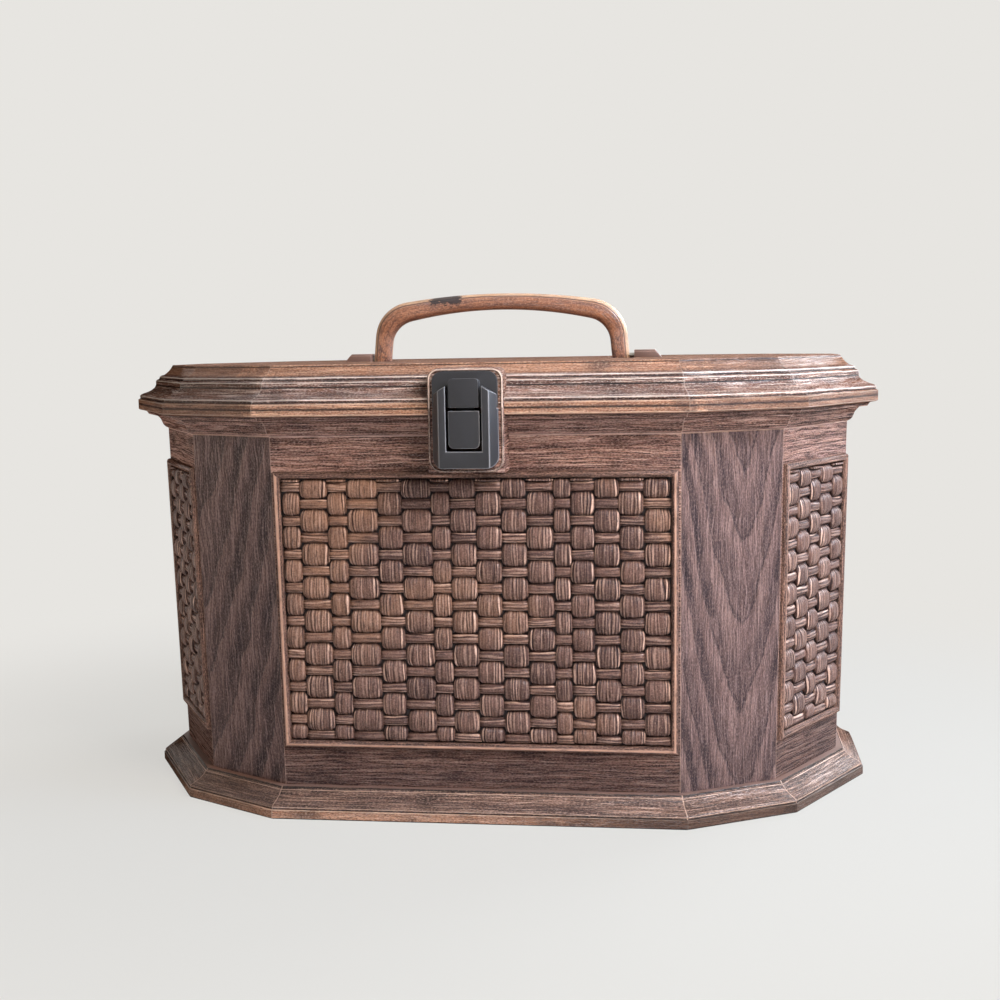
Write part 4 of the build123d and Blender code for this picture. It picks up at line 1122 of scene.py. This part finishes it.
def reed_weave_tree():
    """Puts a bundle or a bar on each point, crowns it, and lets its ends dive under its neighbours."""
    tree, n, inlet, outlet = new_tree(
        "reed_weave", "GeometryNodeTree",
        {"Geometry": ("Geometry", None), "Bundle": ("Object", None), "Bar": ("Object", None),
         "Relief": ("Float", 0.003), "Knob": ("Float", 0.12), "Material": ("Material", None)},
        {"Geometry": "Geometry"})

    def named(label, kind="FLOAT"):
        node = n.add("GeometryNodeInputNamedAttribute", data_type=kind)
        return n.feed(node, Name=label).outputs["Attribute"]

    def store(geometry, label, value, kind="FLOAT", domain="POINT"):
        node = n.add("GeometryNodeStoreNamedAttribute", data_type=kind, domain=domain)
        return n.feed(node, Name=label, Geometry=geometry, Value=value).outputs["Geometry"]

    def blank(source):
        info = n.feed(n.add("GeometryNodeObjectInfo"), Object=source)
        place = n.add("GeometryNodeInputPosition").outputs[0]
        return store(info.outputs["Geometry"], "cell", place, "FLOAT_VECTOR")

    def placed(source, wanted):
        chosen = n.math("COMPARE", named("kind"), wanted, 0.1)
        size = n.combine(named("wide"), named("tall"), inlet["Relief"])
        return n.feed(n.add("GeometryNodeInstanceOnPoints"), Points=inlet["Geometry"], Selection=chosen,
                      Instance=blank(source), Scale=size).outputs[0]

    joined = n.add("GeometryNodeJoinGeometry")
    n.join(placed(inlet["Bundle"], 0.0), joined.inputs[0])
    n.join(placed(inlet["Bar"], 1.0), joined.inputs[0])
    real = n.add("GeometryNodeRealizeInstances", joined.outputs[0])

    cell = n.split(named("cell", "FLOAT_VECTOR"))
    kind, lot, wide, tall = [named(label) for label in ("kind", "lot", "wide", "tall")]
    single = n.minus(1.0, kind)
    across, along = n.times(cell["X"], 2.0), n.times(cell["Y"], 2.0)

    def either(of_bundle, of_bar):
        return n.plus(n.times(of_bundle, single), n.times(of_bar, kind))

    def crown(value, power, depth):
        return n.minus(1.0, n.times(n.math("POWER", n.size(value), power), depth))

    def pinch(value, other, size):
        """How far a bundle's end draws in, more towards its corners."""
        share = n.times(n.math("POWER", n.size(other), 3.4), n.times(single, -0.5))
        return n.times(share, value, size)

    bundle = n.times(crown(along, 3.4, 0.76), crown(across, 5.0, 0.5))
    bar = n.times(crown(along, 3.0, 0.7), crown(across, 6.0, 0.35))
    phase = n.times(lot, 40.0)
    ripple = n.times(n.math("SINE", n.scaled(across, 7.5, phase)), 0.05, single)
    height = n.plus(either(bundle, bar), ripple)
    lower = n.minus(1.0, n.times(kind, 0.24))
    lifted = n.times(height, lower, cell["Z"])
    shift = n.combine(n.times(pinch(across, along, wide), inlet["Knob"]),
                      n.times(pinch(along, across, tall), 0.1),
                      n.times(n.minus(lifted, cell["Z"]), inlet["Relief"]))
    geometry = store(real.outputs[0], "height", height)
    geometry = store(geometry, "tint", n.math("FRACT", n.times(lot, 7.0)))
    geometry = store(geometry, "side", either(across, along))
    moved = n.feed(n.add("GeometryNodeSetPosition"), Geometry=geometry, Offset=shift)

    strand_x, strand_y = n.times(cell["X"], wide), n.times(cell["Y"], tall)
    strand = n.combine(n.scaled(either(strand_x, strand_y), 10.0, phase),
                       n.scaled(either(strand_y, strand_x), 10.0, lot))
    geometry = store(moved.outputs[0], "strand", strand, "FLOAT2", "CORNER")
    smooth = n.feed(n.add("GeometryNodeSetShadeSmooth"), Geometry=geometry)
    reeds = n.feed(n.add("GeometryNodeSetMaterial"), Geometry=smooth.outputs[0], Material=inlet["Material"])
    n.join(reeds.outputs[0], outlet["Geometry"])
    return tree


REED_WEAVE = reed_weave_tree()
BUNDLE_BLANK = reed_blank("bundle_blank", 12, 6)
BAR_BLANK = reed_blank("bar_blank", 5, 5)


def set_inputs(modifier, **values):
    for item in modifier.node_group.interface.items_tree:
        if item.item_type == "SOCKET" and item.in_out == "INPUT" and item.name in values:
            modifier[item.identifier] = values[item.name]


def weave_points(index, columns, chance):
    """One vertex for each bundle and bar of a panel, with its size, in the panel's own frame."""
    half_height = PLAQUE_HALF - FRAME_WIDTH
    half_width = facet_half_width(index, PLAQUE_MIDDLE) - PLAQUE_MARGIN - FRAME_WIDTH
    stretch = 2 * half_width / sum(columns)
    tightness = 1.0 if is_long(index) else LOOSE_WEAVE
    places, wide, tall, kind, lot = [], [], [], [], []
    x = -half_width
    for column, width in enumerate(columns):
        width *= stretch
        centre = x + width / 2
        x += width
        for row in range(-1, ROWS + 1):
            y = half_height - FIRST_ROW - ROW_PITCH * row
            on_top = row % 2 == (0 if column % 2 else 1)
            size = BUNDLE_TALL if on_top else BAR_TALL
            low, high = max(y - size / 2, -half_height), min(y + size / 2, half_height)
            if high - low < LEAST_REED:
                continue
            aside = chance.uniform(-REED_SHIFT, REED_SHIFT)
            places.append((centre + aside, (low + high) / 2, FIELD_PROUD))
            wide.append(width * (chance.uniform(0.97, 1.04) if on_top else BAR_OVERLAP) * tightness)
            tall.append(high - low)
            kind.append(0.0 if on_top else 1.0)
            lot.append(chance.random())
    mesh = bpy.data.meshes.new("weave_points")
    mesh.from_pydata([Vector(p) * MM for p in places], [], [])
    for label, values, scale in (("wide", wide, MM), ("tall", tall, MM), ("kind", kind, 1), ("lot", lot, 1)):
        attribute = mesh.attributes.new(label, "FLOAT", "POINT")
        attribute.data.foreach_set("value", [v * scale for v in values])
    return mesh


def make_weave(index, place):
    """The reeds of one woven panel."""
    columns = FRONT_COLUMNS if is_long(index) else SIDE_COLUMNS
    weave = add_object(f"reed_weave_{place}", weave_points(index, columns, random.Random(SEED + index)))
    modifier = weave.modifiers.new("weave", "NODES")
    modifier.node_group = REED_WEAVE
    set_inputs(modifier, Bundle=BUNDLE_BLANK, Bar=BAR_BLANK, Relief=WEAVE_RELIEF * MM,
               Knob=KNOB_LONG if is_long(index) else KNOB_SIDE, Material=REED_STRANDS)
    bake(weave)
    millimetres = Matrix.Scale(1 / MM, 4)
    weave.data.transform(Matrix.Scale(MM, 4) @ panel_frame(index) @ millimetres)
    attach(weave, "case")
    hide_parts(f"woven_plaque_{place}")


# The bead's section, as (way in from the panel's edge, way out from the wall).
BEAD = ((0.0, -PLAQUE_LET_IN), (0.0, 0.9), (0.25, 1.55), (0.75, 2.1), (1.45, PLAQUE_PROUD), (2.1, 2.3),
        (2.7, 1.95), (3.1, 1.3), (3.3, 0.5), (3.4, FIELD_PROUD))
BEAD_CREST = max(range(len(BEAD)), key=lambda step: BEAD[step][1])
BEAD_WEAR = (0.85, 0.75, 0.45, 0.95)     # lower, right, upper and left run of the bead
BEAD_WEAR_FADES = 0.42
SIDE_BEAD_WEAR = 0.6            # the share of it on the narrow panels


def make_frame(index, place):
    """Mitred bead round the weave, with the bed that the reeds lie on, painted dark as the shade in the gaps
    between the reeds.
    """
    shell = Shell()
    loops = [plaque_outline(index, inset, out) for inset, out in BEAD]
    length = 0.0
    for step in range(len(BEAD) - 1):
        low, high = loops[step], loops[step + 1]
        rise = math.dist(BEAD[step], BEAD[step + 1])
        up = [length, length, length + rise, length + rise]
        wear = [max(0.0, 1 - abs(k - BEAD_CREST) * BEAD_WEAR_FADES) for k in (step, step + 1)]
        # The bead's foot darkens where it meets the bed: grime and painted shade.
        if step == len(BEAD) - 2:
            wear = [-0.4, -1.0]
        for i in range(4):
            j = (i + 1) % 4
            share = BEAD_WEAR[i] * (1.0 if is_long(index) else SIDE_BEAD_WEAR)
            wear_and_light = [w * share if w > 0 else w for w in (wear[0], wear[0], wear[1], wear[1])]
            for points, along, edge in halves([low[i], low[j], high[j], high[i]]):
                grain = [grain_place(a, u, BEAD_BOARDS + index * 5 + i) for a, u in zip(along, up)]
                shell.face(points, grain, list(zip(edge, wear_and_light)))
        length += rise
    for bed in (loops[-1], loops[0][::-1]):
        shell.face(bed, [(0, 0)] * 4, [(FAR, -1)] * 4, 1)
    bead = shell.build(f"panel_frame_{place}", (FRAME_BEAD, SHADED_REED_BED))
    sharpen(bead, 40)
    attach(bead, "case")
    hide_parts(f"woven_plaque_{place}")


# ---------------------------------------------------------------- handle
LEG_LOW = PIVOT_HEIGHT - EYE_RADIUS
LEG_LEVELS = [LEG_LOW + h for h in (0.02, 0.25, 0.7, 1.4, 2.4, 3.8, 7.0, 10.5)]
# The bail's two edges. Each has the places where its leg starts and where the leg's line would meet the
# arch, the height of the arch's top, and the shoulder's radius.
BAIL_OUTSIDE = ((67.4, LEG_LOW), (64.5, 237.1), 243.38, 20.0)
BAIL_INSIDE = ((58.3, LEG_LOW), (56.3, 227.5), 235.0, 13.0)
SHOULDER_STEPS = 12
ARCH_STEPS = 14
GIRTH_STEPS = 24
GIRTH_STEP = 1.4                # the way round the grip from one step to the next, in millimetres
GIRTH_POWER = 2 / 3.2           # what makes the section squarer than an oval
RIDGE_FADES = 1.6               # the paler ridge, from wear and a painted highlight, fades over this way, with the parting line in its middle
RIDGE_ENDS = GRIP_PARTING_LINE + RIDGE_FADES / 2


def bail_curve(foot, corner, crown, radius):
    """Half of one edge of the bail, foot to crown: straight leg, round shoulder, shallow arch."""
    foot, corner = Vector(foot), Vector(corner)
    rise = crown - corner.y
    arch_radius = (corner.x ** 2 + rise ** 2) / (2 * rise)
    arch = Vector((0, crown - arch_radius))
    along = (corner - foot).normalized()
    inwards = Vector((-along.y, along.x))
    start = foot + inwards * radius - arch
    b = start.dot(along)
    reach = -b + math.sqrt(b * b - (start.dot(start) - (arch_radius - radius) ** 2))
    leave = foot + along * reach
    centre = leave + inwards * radius
    touch = arch + (centre - arch).normalized() * arch_radius
    return leave, centre, touch, arch, arch_radius


def bail_points(foot, corner, crown, radius):
    """Half of one edge of the bail as points, foot to crown."""
    leave, centre, touch, arch, arch_radius = bail_curve(foot, corner, crown, radius)
    foot = Vector(foot)
    points = [foot.lerp(leave, (h - foot.y) / (leave.y - foot.y)) for h in LEG_LEVELS]
    first, last = (leave - centre), (touch - centre)
    sweep_angle = first.angle_signed(last)
    for step in range(SHOULDER_STEPS + 1):
        angle = -sweep_angle * step / SHOULDER_STEPS
        spun = Vector((first.x * math.cos(angle) - first.y * math.sin(angle),
                       first.x * math.sin(angle) + first.y * math.cos(angle)))
        points.append(centre + spun)
    start = math.atan2(touch.y - arch.y, touch.x)
    for step in range(1, ARCH_STEPS + 1):
        angle = start + (math.pi / 2 - start) * step / ARCH_STEPS
        points.append(arch + Vector((math.cos(angle), math.sin(angle))) * arch_radius)
    return points


def half_depth(z):
    """Half of the bail's depth: rounded at the eye, slim up the leg, full at the grip."""
    if z < PIVOT_HEIGHT:
        return math.sqrt(max(0.04, EYE_RADIUS ** 2 - (PIVOT_HEIGHT - z) ** 2))
    share = max(0.0, min(1.0, (z - LEG_THIN_TO) / LEG_THICKENS_OVER))
    share = share * share * (3 - 2 * share)
    return EYE_RADIUS + (GRIP_HALF_DEPTH - EYE_RADIUS) * share


def make_handle():
    """The swinging handle: one flattened section that runs over the bail from eye to eye."""
    pairs = list(zip(bail_points(*BAIL_OUTSIDE), bail_points(*BAIL_INSIDE)))
    pairs += [(Vector((-o.x, o.y)), Vector((-i.x, i.y))) for o, i in reversed(pairs[:-1])]
    shell = Shell()
    loops, travelled = [], [0.0]
    for o, i in pairs:
        centre, reach = (o + i) / 2, (o - i) / 2
        loop = []
        for step in range(GIRTH_STEPS):
            turn = 2 * math.pi * step / GIRTH_STEPS
            c, s = math.cos(turn), math.sin(turn)
            place = centre + reach * math.copysign(abs(c) ** GIRTH_POWER, c)
            side = math.copysign(abs(s) ** GIRTH_POWER, s)
            loop.append(Vector((place.x + HANDLE_SLID, side * half_depth(place.y), place.y)))
        loops.append(loop)
    for a, b in zip(pairs, pairs[1:]):
        travelled.append(travelled[-1] + ((b[0] + b[1]) / 2 - (a[0] + a[1]) / 2).length)
    for k in range(len(loops) - 1):
        for step in range(GIRTH_STEPS):
            after = (step + 1) % GIRTH_STEPS
            points = [loops[k][after], loops[k][step], loops[k + 1][step], loops[k + 1][after]]
            grain = [grain_place(travelled[m], girth * GIRTH_STEP, GRIP_BOARD)
                     for m, girth in ((k, step + 1), (k, step), (k + 1, step), (k + 1, step + 1))]
            away = [GIRTH_STEP * min(s, GIRTH_STEPS - s) for s in (step + 1, step)]
            ridge = [max(0.0, min(1.0, (RIDGE_ENDS - a) / RIDGE_FADES)) for a in away]
            shell.face(points, grain, [(away[m], ridge[m]) for m in (0, 1, 1, 0)])
    for end in (loops[0], loops[-1][::-1]):
        shell.face(end, [(0, 0)] * GIRTH_STEPS, [(FAR, 0)] * GIRTH_STEPS)
    grip = shell.build("bail_handle", (GRIP_WOOD,))
    face_outwards(grip.data)
    sharpen(grip, 50)
    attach(grip, "handle")
    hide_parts("handle")


# ---------------------------------------------------------------- lip round the latch
LIP_IN = 0.75                   # from the pad's edge to the middle of the lip
LIP_HALF = 0.55
LIP_PROUD = 0.55
LIP_CORNER_STEPS = 8
# The lip's crest goes pale as wear and a painted highlight, more on the lid's half.
LID_LIP_WEAR_AND_HIGHLIGHT = 0.72
CASE_LIP_WEAR_AND_HIGHLIGHT = 0.5
# Across and outwards, as shares of the lip's half width and of its height.
LIP_SECTION = ((-1.0, -0.4), (-1.0, 0.25), (-0.7, 0.72), (-0.25, 0.98), (0.25, 0.98), (0.7, 0.72),
               (1.0, 0.25), (1.0, -0.4))


def lip_path(up):
    """From the seam round the pad's outer end and back to the seam, in X and Z."""
    corner = (PAD_CORNER if up else PAD_FOOT_CORNER) - LIP_IN
    end = PAD_HIGH - LIP_IN if up else PAD_LOW + LIP_IN
    way = 1 if up else -1
    half = PAD_HALF - LIP_IN
    turns = [math.pi / 2 * step / LIP_CORNER_STEPS for step in range(LIP_CORNER_STEPS + 1)]
    points = [Vector((half, SEAM)), Vector((half, (SEAM + end) / 2))]
    points += [Vector((half - corner + corner * math.cos(a), end + way * corner * (math.sin(a) - 1)))
               for a in turns]
    points += [Vector((x, end)) for x in (half / 3, 0, -half / 3)]
    points += [Vector((-p.x, p.y)) for p in reversed(points[:-3])]
    return points


def make_lip(up, body, name):
    """The lip round one half of the latch's pad, its crest pale as wear and a painted highlight, brighter on
    the lid's half.
    """
    path = lip_path(up)
    share = LID_LIP_WEAR_AND_HIGHLIGHT if up else CASE_LIP_WEAR_AND_HIGHLIGHT
    face_out = -HALF_DEPTH - PAD_OUT
    loops, travelled = [], [0.0]
    for k, point in enumerate(path):
        before, after = path[max(k - 1, 0)], path[min(k + 1, len(path) - 1)]
        along = (after - before).normalized()
        aside = Vector((-along.y, along.x))
        loops.append([Vector((point.x + aside.x * a * LIP_HALF, face_out - h * LIP_PROUD,
                              point.y + aside.y * a * LIP_HALF)) for a, h in LIP_SECTION])
        travelled.append(travelled[-1] + (after - before).length / 2)
    shell = Shell()
    count = len(LIP_SECTION)
    for k in range(len(loops) - 1):
        for i in range(count):
            j = (i + 1) % count
            points = [loops[k][i], loops[k][j], loops[k + 1][j], loops[k + 1][i]]
            grain = [grain_place(travelled[m], i, LATCH_LIP_BOARD) for m in (k, k, k + 1, k + 1)]
            shell.face(points, grain, [(FAR, LIP_SECTION[m][1] * share) for m in (i, j, j, i)])
    for end in (loops[0][::-1], loops[-1]):
        shell.face(end, [(0, 0)] * count, [(FAR, 0)] * count)
    lip = shell.build(name, (LIP_WOOD,))
    face_outwards(lip.data)
    sharpen(lip, 60)
    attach(lip, body)


# ---------------------------------------------------------------- small parts kept from the solids
LATCH_BEVEL = 0.45
BOSS_BEVEL = 0.4
HINGE_BEVEL = 0.2
WELD = 2e-6                     # in metres
FLAT_BELOW = 1.0                # in degrees, as the next two
BEVELLED_FROM = 28
SHARP_FROM = 40


def softened(node, name, body, finish, edge, width):
    """A copy of a solid with bevelled edges, the bevels in the edge finish, which on the latch is rubbed
    paler and partly a painted highlight. A width of 0 leaves it sharp.
    """
    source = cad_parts[node]
    work = bmesh.new()
    work.from_mesh(source.data)
    for layer in list(work.loops.layers.uv):
        work.loops.layers.uv.remove(layer)
    bmesh.ops.remove_doubles(work, verts=work.verts, dist=WELD)
    if width:
        bmesh.ops.dissolve_limit(work, angle_limit=math.radians(FLAT_BELOW), verts=work.verts,
                                 edges=work.edges)
    bmesh.ops.recalc_face_normals(work, faces=work.faces)
    for face in work.faces:
        face.material_index = 0
        face.smooth = True
    if width:
        edges = [e for e in work.edges
                 if len(e.link_faces) == 2 and e.calc_face_angle(0) > math.radians(BEVELLED_FROM)]
        bmesh.ops.bevel(work, geom=edges, offset=width * MM, offset_type="OFFSET", segments=2, profile=0.6,
                        affect="EDGES", clamp_overlap=True, material=1)
    mesh = bpy.data.meshes.new(name)
    work.to_mesh(mesh)
    work.free()
    mesh.materials.append(finish)
    mesh.materials.append(edge)
    piece = add_object(name, mesh)
    piece.data.set_sharp_from_angle(angle=math.radians(SHARP_FROM))
    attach(piece, body)
    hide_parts(node)
    return piece


def finish_node(node, material):
    """A better material on a solid that keeps its own mesh."""
    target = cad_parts[node]
    target.data.materials.clear()
    target.data.materials.append(material)


def make_spring():
    """The coil behind the latch button, on a mesh of its own; the real coil shortens as the button goes in.
    """
    coil = softened("latch_spring", "latch_coil", "case", PLATED, PLATED, 0)
    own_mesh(coil)


def make_small_parts():
    """The latch, the handle's bosses, the hinges with their screws and pins, and what is inside the case."""
    softened("latch_housing", "latch_surround", "case", BLACK, BLACK_WORN_AND_HIGHLIGHT, LATCH_BEVEL)
    softened("latch_hasp", "latch_hook_plate", "lid", BLACK, BLACK_WORN_AND_HIGHLIGHT, LATCH_BEVEL)
    softened("latch_button", "latch_push", "latch_button", BLACK, BLACK_WORN_AND_HIGHLIGHT, LATCH_BEVEL)
    for side in ("left", "right"):
        softened(f"handle_boss_{side}", f"bail_boss_{side}", "lid", BOSS_WOOD, BOSS_EDGE, BOSS_BEVEL)
        softened(f"hinge_leaf_lid_{side}", f"hinge_plate_lid_{side}", "lid", PLATED, PLATED, HINGE_BEVEL)
        softened(f"hinge_leaf_tub_{side}", f"hinge_plate_tub_{side}", "case", PLATED, PLATED, HINGE_BEVEL)
        finish_node(f"hinge_pin_{side}", PLATED)
        finish_node(f"handle_pin_{side}", PLATED)
    for node in ("housing_screws", "hasp_screws", "handle_boss_screws", "hinge_screws_lid",
                 "hinge_screws_tub"):
        finish_node(node, PLATED)
    make_spring()
    for node in ("tray", "spool_pegs"):
        finish_node(node, TRAY_PLASTIC)


# ---------------------------------------------------------------- studio, in metres
SHADOW_NEAR = 0.16              # from the middle of the floor: the shadow is full up to here
SHADOW_FAR = 0.55               # and gone from here
SHADOW_SHARE = 0.25
FLOOR_RADIUS = 2.6
FLOOR_BEND = 0.8
FLOOR_BEND_STEPS = 8
BACKDROP_HIGH = 3.0
FLOOR_STEPS = 64
FILL_STRENGTH = 0.14
WINDOW_PLACE = (0.95, -0.26, 0.8)
WINDOW_AIM = (0.12, 0, 0.17)
CAMERA_PLACE = (0.09977, -0.75222, 0.21705)
CAMERA_TURN = (83.8651, 0.9963, 7.6546)
CAMERA_LENS = 52.108
CAMERA_SENSOR = 36


def pale_surface(name, share):
    """The studio's pale colour as the camera sees it, with a share near the case that takes its shadow."""
    material = bpy.data.materials.new(name)
    material.use_nodes = True
    material.node_tree.nodes.clear()
    n = Nodes(material.node_tree)
    glow = n.add("ShaderNodeEmission", linear(STUDIO_PALE)).outputs[0]
    lit = n.add("ShaderNodeBsdfDiffuse", linear(STUDIO_PALE)).outputs[0]
    shaded = n.add("ShaderNodeBsdfDiffuse", linear(STUDIO_SHADED)).outputs[0]
    away = n.add("ShaderNodeVectorMath", n.place(), operation="LENGTH").outputs["Value"]
    seen = n.mix_shader(n.ramp(away, SHADOW_NEAR, SHADOW_FAR, share, 0.0), glow, shaded)
    n.add("ShaderNodeOutputMaterial", n.mix_shader(n.seen_straight(), lit, seen))
    return material


def make_stage():
    """Floor that curves up into a backdrop all round."""
    points, faces = [(0, 0, 0)], []
    rings = []
    for step in range(FLOOR_BEND_STEPS + 1):
        turn = math.pi / 2 * step / FLOOR_BEND_STEPS
        rings.append((FLOOR_RADIUS + FLOOR_BEND * math.sin(turn), FLOOR_BEND * (1 - math.cos(turn))))
    rings.append((FLOOR_RADIUS + FLOOR_BEND, BACKDROP_HIGH))
    turns = [2 * math.pi * step / FLOOR_STEPS for step in range(FLOOR_STEPS)]
    for radius, z in rings:
        points += [(radius * math.cos(turn), radius * math.sin(turn), z) for turn in turns]
    for a in range(FLOOR_STEPS):
        b = (a + 1) % FLOOR_STEPS
        faces.append((0, 1 + a, 1 + b))
        for k in range(len(rings) - 1):
            low, high = 1 + k * FLOOR_STEPS, 1 + (k + 1) * FLOOR_STEPS
            faces.append((low + a, high + a, high + b, low + b))
    mesh = bpy.data.meshes.new("studio_floor")
    mesh.from_pydata(points, [], faces)
    mesh.materials.append(pale_surface("studio_pale", SHADOW_SHARE))
    floor = add_object("studio_floor", mesh)
    floor.data.shade_smooth()


def soft_light(name, place, target, size, watts, colour, diffuse=True):
    data = bpy.data.lights.new(name, "AREA")
    data.shape = "RECTANGLE"
    data.size, data.size_y = size
    data.energy = watts
    data.color = colour
    lamp = add_object(name, data)
    lamp.visible_camera = False
    lamp.visible_diffuse = diffuse
    lamp.location = place
    lamp.rotation_mode = "QUATERNION"
    lamp.rotation_quaternion = (Vector(target) - Vector(place)).to_track_quat("-Z", "Y")


def make_studio():
    """An even pale world as the camera sees it, a weaker one that gives light, and the lamps."""
    world = bpy.data.worlds.new("studio")
    bpy.context.scene.world = world
    world.use_nodes = True
    world.node_tree.nodes.clear()
    n = Nodes(world.node_tree)
    fill = n.add("ShaderNodeBackground", (1, 1, 1, 1), FILL_STRENGTH).outputs[0]
    pale = n.add("ShaderNodeBackground", linear(STUDIO_PALE)).outputs[0]
    n.add("ShaderNodeOutputWorld", n.mix_shader(n.seen_straight(), fill, pale))
    soft_light("window_side", WINDOW_PLACE, WINDOW_AIM, (0.5, 0.5), 18.0, (0.5, 0.71, 1.0))
    soft_light("window_sheen", WINDOW_PLACE, WINDOW_AIM, (0.6, 0.6), 55.0, (0.74, 0.86, 1.0), False)
    soft_light("window_right", (0.5, -0.55, 0.58), (0.06, 0, 0.13), (0.35, 0.35), 7.7, (1.0, 0.93, 0.89))
    soft_light("window_back_right", (1.1, 1.3, 0.9), (0.1, 0, 0.18), (0.85, 0.75), 36, (0.84, 0.92, 1.0))
    soft_light("ceiling", (0.8, -0.6, 1.4), (0.1, 0, 0.1), (0.8, 0.8), 4.6, (1.0, 0.96, 0.93))
    soft_light("bounce_left", (-0.85, -0.02, 0.12), (-0.1, 0, 0.09), (0.5, 0.3), 1.3, (1.0, 0.77, 0.56))


def make_camera():
    data = bpy.data.cameras.new("camera")
    data.lens = CAMERA_LENS
    data.sensor_width = CAMERA_SENSOR
    camera = add_object("camera", data)
    camera.location = CAMERA_PLACE
    camera.rotation_euler = [math.radians(a) for a in CAMERA_TURN]
    bpy.context.scene.camera = camera


def main():
    bpy.context.scene.view_settings.view_transform = "Standard"
    make_camera()
    make_studio()
    make_stage()
    make_tub()
    make_plinth()
    make_lid()
    for index, place in WOVEN.items():
        make_frame(index, place)
        make_weave(index, place)
    for blank in (BUNDLE_BLANK, BAR_BLANK):
        bpy.data.objects.remove(blank)
    make_lip(True, "lid", "latch_lip_lid")
    make_lip(False, "case", "latch_lip_case")
    make_handle()
    make_small_parts()


main()
